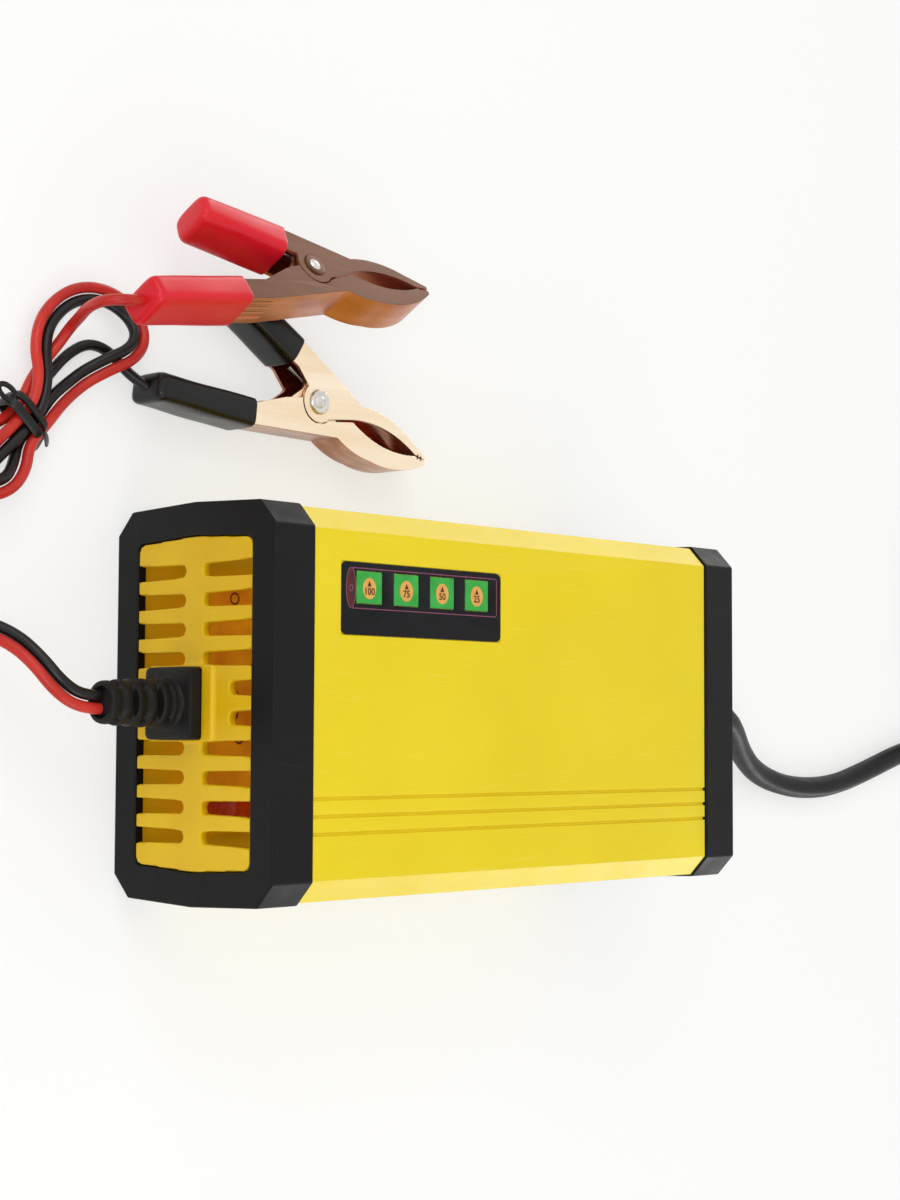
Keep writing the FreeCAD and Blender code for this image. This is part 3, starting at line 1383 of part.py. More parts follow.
def plug(entry, heading):
    """A flat two-pin plug that lies on its side: a waisted body with a sleeve at the lead, and two pins."""
    body = new_body("PlugBody")
    half = "( plug_width / 2 )"
    outline = [
        ("plug_relief", "plug_neck / 2"),
        ("plug_relief", "0 - plug_neck / 2"),
        ("plug_relief + plug_grip", "0 - plug_neck / 2 - 3"),
        ("plug_relief + plug_grip + 9", f"0 - {half}"),
        ("plug_relief + plug_length", f"0 - {half}"),
        ("plug_relief + plug_length", half),
        ("plug_relief + plug_grip + 9", half),
        ("plug_relief + plug_grip", "plug_neck / 2 + 3"),
    ]
    extrude("Pad", body, outlines(body, "PlugOutline", "XY", [outline]), "plug_thickness", midplane=True)
    deep = size("plug_thickness") / 2
    round_edges(body, "plug_corner", lambda edge: along(edge, Z_AXIS), "PlugCorners")

    def is_rim(edge):
        box = edge.BoundBox
        return box.ZLength < 1e-6 and abs(abs(box.ZMin) - deep) < 1e-6

    round_edges(body, "plug_bevel", is_rim, "PlugBevel", kind="Chamfer")
    profile = [
        ("0", "0"),
        ("plug_relief + 1", "0"),
        ("plug_relief + 1", "plug_neck / 2 - 0.3"),
        ("0", "mains_diameter / 2 + 0.8"),
    ]
    relief = outlines(body, "PlugRelief", "XZ", [profile])
    turn = body.newObject("PartDesign::Revolution", "PlugReliefTurn")
    turn.Profile = relief
    turn.ReferenceAxis = (relief, ["H_Axis"])
    turn.Angle = 360
    doc.recompute()
    face = "plug_relief + plug_length"
    pins = [("0 - plug_pin_spacing / 2", "0"), ("plug_pin_spacing / 2", "0")]
    sleeves = yz_circles(body, "PinSleeves", pins, "plug_sleeve_diameter", face)
    extrude("Pad", body, sleeves, "plug_sleeve_length")
    bores = yz_circles(body, "PinBores", pins, "plug_sleeve_diameter - 0.6", f"{face} - plug_pin_root")
    extrude("Pocket", body, bores, "plug_pin_root + plug_sleeve_length + 1", backwards=True)
    place = Placement(entry, Rotation(Z_AXIS, heading))
    for axis in ("x", "z"):
        body.setExpression("Placement.Base." + axis, None)
    body.Placement = place
    node("plug_body", body)
    parts = []
    for sign in (-1, 1):
        side = sign * size("plug_pin_spacing") / 2
        start = size("plug_relief") + size("plug_length")
        core, tip = size("plug_sleeve_diameter") / 2 - 0.35, size("plug_pin_diameter") / 2
        neck, end = start + size("plug_sleeve_length"), start + size("plug_pin_length")
        profile = [
            (start - size("plug_pin_root"), core),
            (neck, core),
            (neck, tip),
            (end - 1.2, tip),
            (end - 0.3, tip * 0.86, end, tip * 0.45),
            (end, 0),
            (start - size("plug_pin_root"), 0),
        ]
        pin = Part.Face(flat_wire(profile)).revolve(Vector(), X_AXIS, 360)
        pin.translate(Vector(0, side, 0))
        parts.append(pin)
    shape_node("plug_pins", Part.Compound(parts), place)


def band(label, place, low_n, high_n, low_z, high_z):
    """A flat tie wrapped round a bundle, at a place and heading: across and up are its own axes."""
    thick, wide, room = size("tie_thickness"), size("tie_width"), size("tie_room")
    sizes = []
    for grow in (room + thick, room):
        tall, broad = high_z - low_z + 2 * grow, high_n - low_n + 2 * grow
        box = Part.makeBox(wide, broad, tall, Vector(-wide / 2, low_n - grow, low_z - grow))
        radius = size("core_diameter") / 2 + grow
        sizes.append(box.makeFillet(radius, [e for e in box.Edges if along(e, X_AXIS)]))
    return shape_node(label, sizes[0].cut(sizes[1]), place)


def coil_tie(label, spirals, diameter, degrees):
    """A tie round all of a coil's turns, at an angle about its middle."""
    x, y = spirals[0].centre
    radial = Vector(math.cos(math.radians(degrees)), math.sin(math.radians(degrees)), 0)
    reaches, heights = [], []
    for spiral in spirals:
        swing = size("tie_width") / 2 / (spiral.radius * math.pi)
        first = (degrees - spiral.start) / 360 % 1
        for k in range(int(spiral.turns) + 1):
            for turned in (first + k - swing, first + k, first + k + swing):
                if 0 <= turned <= spiral.turns:
                    place = spiral.point(turned)
                    reaches.append((place - Vector(x, y, 0)).dot(radial))
                    heights.append(place.z)
    turn = Placement(Vector(x, y, 0), Rotation(Z_AXIS, degrees + 90))
    radius = diameter / 2
    low, high = min(heights) - radius, max(heights) + radius
    band(label, turn, -max(reaches) - radius, -min(reaches) + radius, low, high)


TIE_AT = Vector(-88.0, 48.7, 0)  # the visible tie round the output lead's loops
TIE_WAY = Vector(0.682, 0.731, 0)


def at_tie(along_it, across, height):
    """A place by the tie: along the bundle, across it to its right, and above the surface."""
    right = Vector(TIE_WAY.y, -TIE_WAY.x, 0)
    place = TIE_AT + TIE_WAY * along_it + right * across
    return place.x, place.y, height


def raised(points, which, rise):
    """The same points, with one of them lifted."""
    moved = list(points)
    x, y, z = moved[which]
    moved[which] = (x, y, z + rise)
    return moved


def output_lead(red_end, black_end):
    """The two-core output lead, from its strain relief to the clips."""
    half, wire = size("core_spacing") / 2, size("core_diameter")
    lift = size("tie_thickness") + size("tie_room") + wire / 2
    high = lift + size("core_spacing")
    step = wire + size("turn_gap")
    turns, radius = size("output_coil_turns"), size("output_coil_radius")
    pitch = size("core_spacing") + step
    face = -value_of(f"{BOOT_FACE} + output_boot_reach")
    height = value_of("case_thickness / 2 - boot_drop")
    tail = [
        (face, 0, height),
        (face - 3.8, 0, height),
        (face - 7.8, 2.4, height - 0.8),
        (face - 10.4, 6.8, 14.4),
        (face - 12.6, 10.4, 10.6),
        (face - 16.0, 12.6, 6.2),
        (face - 20.6, 13.6, 3.1),
        (face - 25.6, 14.8, lift),
        (face - 29.4, 18.6, lift),
        (face - 31.7, 25.7, lift),
    ]
    loop = [
        at_tie(8.2, -2.9, high - 0.1),
        at_tie(11.2, -6.6, 3.3),
        at_tie(15.6, -8.6, 2.3),
        (-80.6, 69.6, 1.7),
        (-76.8, 72.2, 1.5),
        (-72.4, 73.3, 1.6),
        (-68.0, 72.6, 2.0),
        (-64.6, 69.8, 3.2),
        (-64.0, 65.8, 4.6),
        (-66.8, 62.4, 5.5),
        (-70.8, 60.4, 4.7),
        (-74.8, 57.9, 3.0),
        at_tie(12.5, 3.1, 2.0),
        at_tie(7.8, 2.5, 1.95),
    ]
    hairpin = [
        at_tie(-7.6, 4.4, 4.8),
        at_tie(-12.6, 4.4, 6.4),
        at_tie(-17.4, 1.4, 7.0),
        at_tie(-19.4, -3.6, 6.2),
        at_tie(-17.0, -8.0, 4.6),
        at_tie(-13.2, -7.8, 3.0),
        at_tie(-8.8, -4.0, 2.0),
    ]
    split_red = [
        at_tie(-3, -2.15, lift),
        at_tie(3, -2.15, lift),
        at_tie(7.2, -3.2, 1.3),
        at_tie(11.8, -3.7, 1.4),
        (-81.0, 62.6, 2.8),
        (-80.2, 65.6, 5.4),
        (-81.0, 66.6, 8.9),
        (-82.4, 67.3, 12.5),
        (-83.4, 67.7, 16.4),
        (-83.2, 67.9, 20.0),
        (-80.3, 68.0, 21.8),
    ]
    split_black = [
        at_tie(-4.8, 0, lift),
        at_tie(3, 0, lift),
        at_tie(7.6, -1.1, 1.2),
        at_tie(12.4, -1.4, 1.2),
        (-77.4, 61.8, 1.2),
        (-73.6, 64.0, 1.2),
        (-70.0, 63.7, 1.3),
        (-67.2, 61.8, 1.8),
        (-65.1, 58.9, 3.2),
    ]
    spirals = []
    for colour, side, first, back, split, end in (
        ("red", -half, -1.1, (3.3, high), split_red, red_end),
        ("black", half, 1.1, (2.2, lift), split_black, black_end),
    ):
        outset = half + side
        spiral = Spiral(OUTPUT_COIL_AT, 0, turns, radius, pitch, lift, lift + step, outset)
        spirals.append(spiral)
        coil(f"{colour}_lead_coil", spiral, wire)
        into, out = spiral.heading(0), spiral.heading(turns)
        arrive, leave = spiral.point(0) - into * wire, spiral.point(turns) + out * wire
        entry = [tuple(arrive - into * 4.4), tuple(arrive)]
        cord(f"{colour}_lead_tail", beside(tail, side)[:-1] + entry, wire)
        approach = [
            tuple(leave),
            tuple(leave + out * 9),
            at_tie(-24, first - 0.3, high + 0.25),
            at_tie(-12, first - 0.7, high + 0.25),
            at_tie(-3, first, high),
            at_tie(3, first, high),
        ]
        if colour == "red":
            route = raised(loop, -1, 0.7)
            turn_back = raised(hairpin, 0, 0.55)
        else:
            route = raised(loop, 0, -0.5)
            turn_back = raised(hairpin, 0, -0.55)
        route = beside([at_tie(3, 0, high)] + route + [at_tie(3, 2.7, high)], side)[1:-1]
        route += [at_tie(3, *back), at_tie(-3, *back)]
        turn_back = beside([at_tie(-3, 2.7, high)] + turn_back + [at_tie(-3, -half, lift)], side)[1:-1]
        place, inward = end
        finish = tuple(place + inward * (size("sleeve_cap") / 2))
        cord(f"{colour}_lead_loops", approach + route + turn_back + split + [finish], wire)

    turn = Placement(TIE_AT, Rotation(Z_AXIS, math.degrees(math.atan2(TIE_WAY.y, TIE_WAY.x))))
    wide = wire / 2
    band("lead_tie", turn, -3.3 - wide, size("core_spacing") + wide, lift - wide, high + wide)
    coil_tie("lead_coil_tie", spirals, wire, 200)


def mains_lead():
    """The mains lead: its visible run, the coil of what lies beyond, and the plug."""
    thick = size("mains_diameter")
    face = value_of(f"{BOOT_FACE} + mains_boot_reach")
    height = value_of("case_thickness / 2 - boot_drop")
    lift = size("tie_thickness") + size("tie_room") + thick / 2
    step = thick + size("turn_gap")
    turns, radius = size("mains_coil_turns"), size("mains_coil_radius")
    spiral = Spiral(MAINS_COIL_AT, -90, turns, radius, step + 0.05, lift, lift + step)
    coil("mains_lead_coil", spiral, thick)
    coil_tie("mains_coil_tie", [spiral], thick, 100)
    into = spiral.heading(0)
    arrive = spiral.point(0) - into * thick
    route = [
        (face, 0, height),
        (face + 8.0, 0, height),
        (face + 17.0, -2.0, 13.6),
        (face + 26.0, -6.0, 8.4),
        (face + 36.0, -11.0, 4.6),
        (face + 47.0, -15.4, 2.9),
        (face + 60.0, -18.0, 2.75),
        (face + 75.0, -17.8, 2.7),
        (face + 91.0, -14.2, 2.75),
        (face + 108.0, -9.6, 2.7),
        (face + 124.0, -6.9, 2.9),
        tuple(arrive - into * 10.0),
        tuple(arrive),
    ]
    cord("mains_lead", route, thick)
    out = spiral.heading(turns)
    leave = spiral.point(turns) + out * thick
    rest = size("plug_thickness") / 2
    entry = Vector(leave.x - 1.5, leave.y + 27.0, rest)
    stretch = [
        tuple(leave),
        tuple(leave + out * 6.0),
        (leave.x - 0.5, leave.y + 13.0, leave.z - 0.7),
        (entry.x, entry.y - 7.0, rest),
        tuple(entry),
    ]
    cord("mains_plug_stretch", stretch, thick)
    plug(entry, 90)


def inner_leads():
    """The four wires between the strain reliefs and the main board."""
    wire, top = size("inner_wire"), value_of(BOARD_TOP)
    height = value_of("case_thickness / 2 - boot_drop")
    start = value_of("case_length / 2 - frame_lip - boot_flange")
    land = value_of(f"{BOARD_LENGTH} / 2") - 4
    wires = []
    for label, end, y, across in (
        ("red wire", -1, 1.3, 2.2),
        ("black wire", -1, -1.3, -2.2),
        ("live wire", 1, 1.4, 6.5),
        ("neutral wire", 1, -1.4, 2.6),
    ):
        points = [
            (end * start, y, height),
            (end * (start - 3.0), y, height),
            (end * (land + 0.4), y + (across - y) / 2, height - 1.6),
            (end * land, across, top + 3.4),
            (end * land, across, top),
        ]
        wires.append(tube(label, points, wire))
    shape_node("inner_leads", Part.Compound(wires))


front_shell()
rear_shell()
end_frame("output_end_frame", "OutputFrame", False)
end_frame("mains_end_frame", "MainsFrame", True)
vent_comb("output_vent_comb", "OutputComb", False)
vent_comb("mains_vent_comb", "MainsComb", True)
strain_relief("output_boot", "OutputBoot", False, "output_boot_reach")
strain_relief("mains_boot", "MainsBoot", True, "mains_boot_reach")
display()
main_board()
case_screws()

flat = size("clip_width") / 2 + size("sleeve_wall") + size("sleeve_play")
black_place = Placement(Vector(-23.5, 58.6, flat + 0.05), Rotation(Z_AXIS, -16.3))
red_place = Placement(Vector(-34.1, 80.3, 14.8), Rotation(X_AXIS, -29))
black_end = clip("black", black_place, size("black_sleeve_slip"))
red_end = clip("red", red_place, size("red_sleeve_slip"))
print("sleeve ends", red_end, black_end)
output_lead(red_end, black_end)
mains_lead()
inner_leads()
doc.recompute()

os.makedirs("parts", exist_ok=True)
faulty = [thing.Name for thing in doc.Objects if any(word in thing.State for word in ("Invalid", "Error"))]
if faulty:
    raise RuntimeError(f"not built: {faulty}")
for label, feature in NODES.items():
    shape = feature.Shape
    print(label, "valid" if shape.isValid() else "INVALID", len(shape.Solids), round(shape.Volume, 1),
          [round(v, 2) for v in (shape.BoundBox.XMin, shape.BoundBox.XMax, shape.BoundBox.YMin,
                                 shape.BoundBox.YMax, shape.BoundBox.ZMin, shape.BoundBox.ZMax)])
    shape.exportStep(f"parts/{label}.step")
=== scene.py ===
"""Looks of a car battery charger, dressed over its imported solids.

Places are written in millimetres, in the solids' own frame, and turned to metres where a mesh is made.
"""

import math

import bmesh
import bpy
import numpy as np
from mathutils import Matrix


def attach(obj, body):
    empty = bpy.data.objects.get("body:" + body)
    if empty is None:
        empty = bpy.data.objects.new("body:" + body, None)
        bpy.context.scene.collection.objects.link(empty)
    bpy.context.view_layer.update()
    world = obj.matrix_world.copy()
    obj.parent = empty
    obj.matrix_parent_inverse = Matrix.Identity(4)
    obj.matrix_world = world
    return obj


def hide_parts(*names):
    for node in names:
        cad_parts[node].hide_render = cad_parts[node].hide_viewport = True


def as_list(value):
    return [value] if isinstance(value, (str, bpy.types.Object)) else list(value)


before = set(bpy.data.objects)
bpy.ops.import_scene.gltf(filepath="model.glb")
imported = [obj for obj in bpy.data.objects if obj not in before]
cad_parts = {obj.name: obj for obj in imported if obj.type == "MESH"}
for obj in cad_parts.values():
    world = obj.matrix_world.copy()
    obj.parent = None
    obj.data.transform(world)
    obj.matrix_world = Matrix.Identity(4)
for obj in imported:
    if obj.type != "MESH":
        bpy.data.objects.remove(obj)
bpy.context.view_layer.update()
MM = 0.001


# ---------------------------------------------------------------- camera

FOCAL, FRAME_HEIGHT = 2136.5, 1200  # of the photograph, in its pixels
CAMERA_AT = (-304.2, -5.2, 305.8)
CAMERA_AHEAD = (0.7287, 0.0629, -0.6819)
CAMERA_RIGHT = (0.683, 0.0042, 0.7304)


def unit(way):
    """Arrows of length one."""
    way = np.asarray(way, float)
    return way / np.linalg.norm(way, axis=-1, keepdims=True)


def all_round(count):
    """Angles once round, the last one short of the first."""
    return np.linspace(0, 2 * np.pi, count, endpoint=False)


def signed_power(value, power):
    """A power of a value's size, with the value's sign."""
    return np.sign(value) * np.abs(value) ** power


def linked(name, data):
    """A new object in the scene."""
    made = bpy.data.objects.new(name, data)
    bpy.context.scene.collection.objects.link(made)
    return made


def seated(right, back, place):
    """Where a camera or a lamp stands: its right, its up and its back as columns, and its place in metres."""
    seat = np.eye(4)
    seat[:3, :3] = np.stack([right, np.cross(back, right), back], 1)
    seat[:3, 3] = place
    return Matrix(seat)


def camera():
    """The photograph's camera, from its place, its two axes and its focal length."""
    data = bpy.data.cameras.new("camera")
    data.sensor_fit, data.sensor_height = "VERTICAL", 36.0
    data.lens = FOCAL / FRAME_HEIGHT * data.sensor_height
    data.clip_start, data.clip_end = 0.02, 50.0
    back = -unit(CAMERA_AHEAD)
    right = unit(np.array(CAMERA_RIGHT) - back * (back @ CAMERA_RIGHT))
    eye = linked("camera", data)
    eye.matrix_world = seated(right, back, np.array(CAMERA_AT) * MM)
    bpy.context.scene.camera = eye


# ---------------------------------------------------------------- materials

def linear(code):
    """A hex sRGB colour as linear light: below 0.04045 a straight line, above it the 2.4 power."""
    part = np.array([int(code[i : i + 2], 16) / 255 for i in (1, 3, 5)])
    part = np.where(part <= 0.04045, part / 12.92, ((part + 0.055) / 1.055) ** 2.4)
    return (*part.tolist(), 1.0)


def port(sockets, name):
    """A socket by number, or the one in use that has that name."""
    return sockets[name] if isinstance(name, int) else next(s for s in sockets if s.enabled and s.name == name)


def add(tree, kind, settings=None, links=None, gives=0):
    """Adds one node with its settings and its links, and gives one of its outputs."""
    made = tree.nodes.new("ShaderNode" + kind)
    for name, value in (settings or {}).items():
        if isinstance(name, str) and hasattr(made, name):
            setattr(made, name, value)
        else:
            port(made.inputs, name).default_value = value
    for name, source in (links or {}).items():
        tree.links.new(source, port(made.inputs, name))
    return port(made.outputs, gives)


def blank(name):
    """An empty material, its node tree, and the place on the object that its patterns follow."""
    made = bpy.data.materials.new(name)
    made.use_nodes = True
    made.node_tree.nodes.clear()
    return made, made.node_tree, add(made.node_tree, "TexCoord", gives="Object")


def out(tree, shader):
    """Ends a tree in its output node."""
    end = tree.nodes.new("ShaderNodeOutputMaterial")
    tree.links.new(shader, end.inputs["Surface"])


def ended(made, settings, links):
    """Ends a material in one principled shader."""
    out(made.node_tree, add(made.node_tree, "BsdfPrincipled", settings, links))
    return made


def calc(tree, operation, *sides):
    """One step of arithmetic; each side is a number or a node's output."""
    numbers = {at: side for at, side in enumerate(sides) if isinstance(side, (int, float))}
    links = {at: side for at, side in enumerate(sides) if at not in numbers}
    return add(tree, "Math", {"operation": operation, **numbers}, links)


def bump(tree, strength, depth, height):
    """A relief of a real depth in millimetres."""
    return add(tree, "Bump", {"Strength": strength, "Distance": depth * MM}, {"Height": height})


def noise(tree, place, size_mm, detail=2.0, rough=0.5):
    """Cloudy noise with features of a real size."""
    return add(tree, "TexNoise", {"Scale": 1.0 / (size_mm * MM), "Detail": detail, "Roughness": rough},
               {"Vector": place}, "Fac")


def between(tree, value, low, high, start=0.0, end=1.0):
    """Spreads a value's range low to high over start to end, and holds it there."""
    return add(tree, "MapRange", {"From Min": low, "From Max": high, "To Min": start, "To Max": end},
               {"Value": value}, "Result")


def blend(tree, share, first, second):
    """One colour turning into another by a share; each is a hex code or a node's output."""
    settings, links = {"data_type": "RGBA"}, {"Factor": share}
    for name, colour in (("A", first), ("B", second)):
        if isinstance(colour, str):
            settings[name] = linear(colour)
        else:
            links[name] = colour
    return add(tree, "Mix", settings, links, "Result")


def rubbed_lines(tree, place, spacing, share):
    """Fine straight rubs, sparse and slanting."""
    lines = add(tree, "Mapping", {"Scale": (0.06, 1, 1), "Rotation": (0.3, 0.2, 0.5)}, {"Vector": place})
    return between(tree, noise(tree, lines, spacing, 2.0, 0.4), 0.64, 0.7, 0.0, share)


def surface(name, tones, gloss, patch, grain, relief, stretch=(1, 1, 1), edge=None, marks=None, scuffs=None,
            **body):
    """A finish whose tone drifts over patches, with a fine relief of grains; sizes in millimetres.

    tones: dark and light hex; gloss: lowest and highest roughness; edge: the hex and share of a painted highlight
    along convex edges, for close meshes only; marks: a hex, a size and a share for sparse spots; scuffs: a hex, a
    spacing and a share for fine rubbed lines; body: the shader's own settings.
    """
    made, tree, place = blank(name)
    drawn = add(tree, "Mapping", {"Scale": stretch}, {"Vector": place})
    drift = noise(tree, drawn, patch, 3.0)
    tone = blend(tree, between(tree, drift, 0.3, 0.7), tones[0], tones[1])
    if marks:
        spots = noise(tree, place, marks[1], 1.0)
        tone = blend(tree, between(tree, spots, 0.66, 0.72, 0.0, marks[2]), tone, marks[0])
    if scuffs:
        rubbed = rubbed_lines(tree, place, scuffs[1], scuffs[2])
        rubbed = calc(tree, "MULTIPLY", rubbed, between(tree, drift, 0.45, 0.6))
        tone = blend(tree, rubbed, tone, scuffs[0])
    # edge: a painted highlight along the mesh's convex edges
    if edge:
        painted_edge_highlight = add(tree, "NewGeometry", gives="Pointiness")
        painted_edge_highlight = between(tree, painted_edge_highlight, 0.53, 0.62, 0.0, edge[1])
        tone = blend(tree, calc(tree, "MULTIPLY", painted_edge_highlight, between(tree, drift, 0.25, 0.6)), tone, edge[0])
    rough = between(tree, noise(tree, drawn, patch / 4, 4.0, 0.6), 0.3, 0.7, *gloss)
    normal = bump(tree, 0.6, relief, noise(tree, drawn, grain, 3.0, 0.6))
    return ended(made, body, {"Base Color": tone, "Roughness": rough, "Normal": normal})


def case_resin(name):
    """Injection-moulded yellow ABS from a spark-eroded mould: even and soft-glossed, finely rubbed here and there.

    Inside the shells' octagon a warmer tone and a weak glow are painted light, standing for the daylight that
    soaks through their thin walls.
    """
    made, tree, place = blank(name)
    drift = noise(tree, place, 30.0, 3.0)
    tone = blend(tree, between(tree, drift, 0.3, 0.7), "#E6CC0E", "#ECD318")
    tone = blend(tree, rubbed_lines(tree, place, 0.5, 0.2), tone, "#F0DF5A")
    across = calc(tree, "ABSOLUTE", add(tree, "SeparateXYZ", {}, {"Vector": place}, "Y"))
    height = add(tree, "SeparateXYZ", {}, {"Vector": place}, "Z")
    height = calc(tree, "ABSOLUTE", calc(tree, "SUBTRACT", height, CASE_MIDDLE * MM))
    both = calc(tree, "ADD", across, height)
    within = [between(tree, value, limit * MM, (limit + 0.1) * MM, 1.0, 0.0)
              for value, limit in zip((across, height, both), INNER)]
    painted_light_inside = calc(tree, "MULTIPLY", calc(tree, "MULTIPLY", within[0], within[1]), within[2])
    rough = between(tree, noise(tree, place, 7.5, 4.0, 0.6), 0.3, 0.7, 0.34, 0.44)
    normal = bump(tree, 0.6, 0.01, noise(tree, place, 0.45, 3.0, 0.6))
    # the warmer tone and the glow inside the octagon are painted light, for daylight through the walls
    return ended(made, SATIN, {
        "Base Color": blend(tree, painted_light_inside, tone, "#D99A12"), "Roughness": rough, "Normal": normal,
        "Emission Color": tone, "Emission Strength": calc(tree, "MULTIPLY", painted_light_inside, PAINTED_GLOW_INSIDE)})


def phenolic_board(name):
    """Pressed phenolic paper board: orange-brown and faintly glossy, with printed rings and dashes on it.

    A weak painted glow stands for the daylight that soaks through the thin yellow case on to it.
    """
    made, tree, place = blank(name)
    base = blend(tree, between(tree, noise(tree, place, 9.0, 4.0), 0.3, 0.7), "#B4660F", "#DB9216")
    cells = add(tree, "TexVoronoi", {"Scale": 1.0 / (4.5 * MM), "Randomness": 0.7}, {"Vector": place}, "Distance")
    base = blend(tree, calc(tree, "COMPARE", cells, 0.27, 0.035), base, "#5E2A14")
    dot = between(tree, cells, 0.14, 0.1)
    base = blend(tree, dot, base, "#D9CDBB")
    # the emission is a painted glow
    return ended(made, {"Roughness": 0.42, "Emission Strength": 0.4},
                 {"Base Color": base, "Normal": bump(tree, 0.4, 0.05, dot), "Emission Color": base})


def wound_tape(name):
    """Polyester winding tape: amber-yellow, lapped round in 4 mm bands in relief, each band painted lighter
    towards one edge as a highlight.
    """
    made, tree, place = blank(name)
    laps = add(tree, "TexWave", {"wave_type": "BANDS", "bands_direction": "Z", "wave_profile": "SAW",
                                "Scale": 0.3 / (4.0 * MM) / 6.3, "Distortion": 0.3}, {"Vector": place}, "Fac")
    # the lighter side of each band is a painted highlight
    base = blend(tree, laps, "#D09A14", "#F0CE40")
    return ended(made, {"Roughness": 0.3, "Coat Weight": 0.3},
                 {"Base Color": base, "Normal": bump(tree, 0.5, 0.1, laps)})


def plated(name, facing, inside, cheek, wall, inner, gloss):
    """Copper-plated, stamped spring steel: rolling lines along the jaw, one tone on the flat cheeks, another on
    the folded walls, and raw copper red on what lies deeper than a height along the cheeks' facing. The cheeks'
    tone is a painted reflection, picked by the way a face points."""
    made, tree, place = blank(name)
    way = add(tree, "TexCoord", gives="Normal")
    lines = add(tree, "Mapping", {"Scale": (0.1, 1, 1)}, {"Vector": place})
    drift = between(tree, noise(tree, lines, 3.5, 3.0), 0.3, 0.7)
    turned_up = add(tree, "VectorMath", {"operation": "DOT_PRODUCT", 1: facing}, {0: way}, "Value")
    flat = between(tree, turned_up, 0.55, 0.8)
    deep = add(tree, "VectorMath", {"operation": "DOT_PRODUCT", 1: facing}, {0: place}, "Value")
    hidden = between(tree, deep, (inside - 0.3) * MM, inside * MM, 1.0, 0.0)
    # faces turned along the facing take the cheek tone, a painted reflection
    tone = blend(tree, flat, blend(tree, drift, *wall), blend(tree, drift, *cheek))
    tone = blend(tree, calc(tree, "MULTIPLY", hidden, flat), tone, inner)
    rough = between(tree, noise(tree, lines, 1.2, 4.0, 0.6), 0.3, 0.7, *gloss)
    normal = bump(tree, 0.5, 0.006, noise(tree, lines, 0.35, 3.0))
    return ended(made, {"Metallic": 0.92}, {"Base Color": tone, "Roughness": rough, "Normal": normal})


def lit_window(name):
    """Printed green polyester over a lamp: saturated and smooth, with a slight drift of tone."""
    made, tree, place = blank(name)
    tone = blend(tree, between(tree, noise(tree, place, 3.0, 2.0), 0.3, 0.7), "#2A9A34", "#38AC44")
    normal = bump(tree, 0.2, 0.02, noise(tree, place, 0.5))
    return ended(made, {"Roughness": 0.3, "Subsurface Weight": 0.15, "Subsurface Scale": 0.001, **SATIN},
                 {"Base Color": tone, "Normal": normal})


def glass_tube(name):
    """Clear glass of a fuse, thin enough to show its wire's shade."""
    made, tree, place = blank(name)
    normal = bump(tree, 0.1, 0.02, noise(tree, place, 2.0))
    return ended(made, {"Base Color": linear("#E4ECEA"), "Roughness": 0.05, "IOR": 1.5,
                        "Transmission Weight": 0.8}, {"Normal": normal})


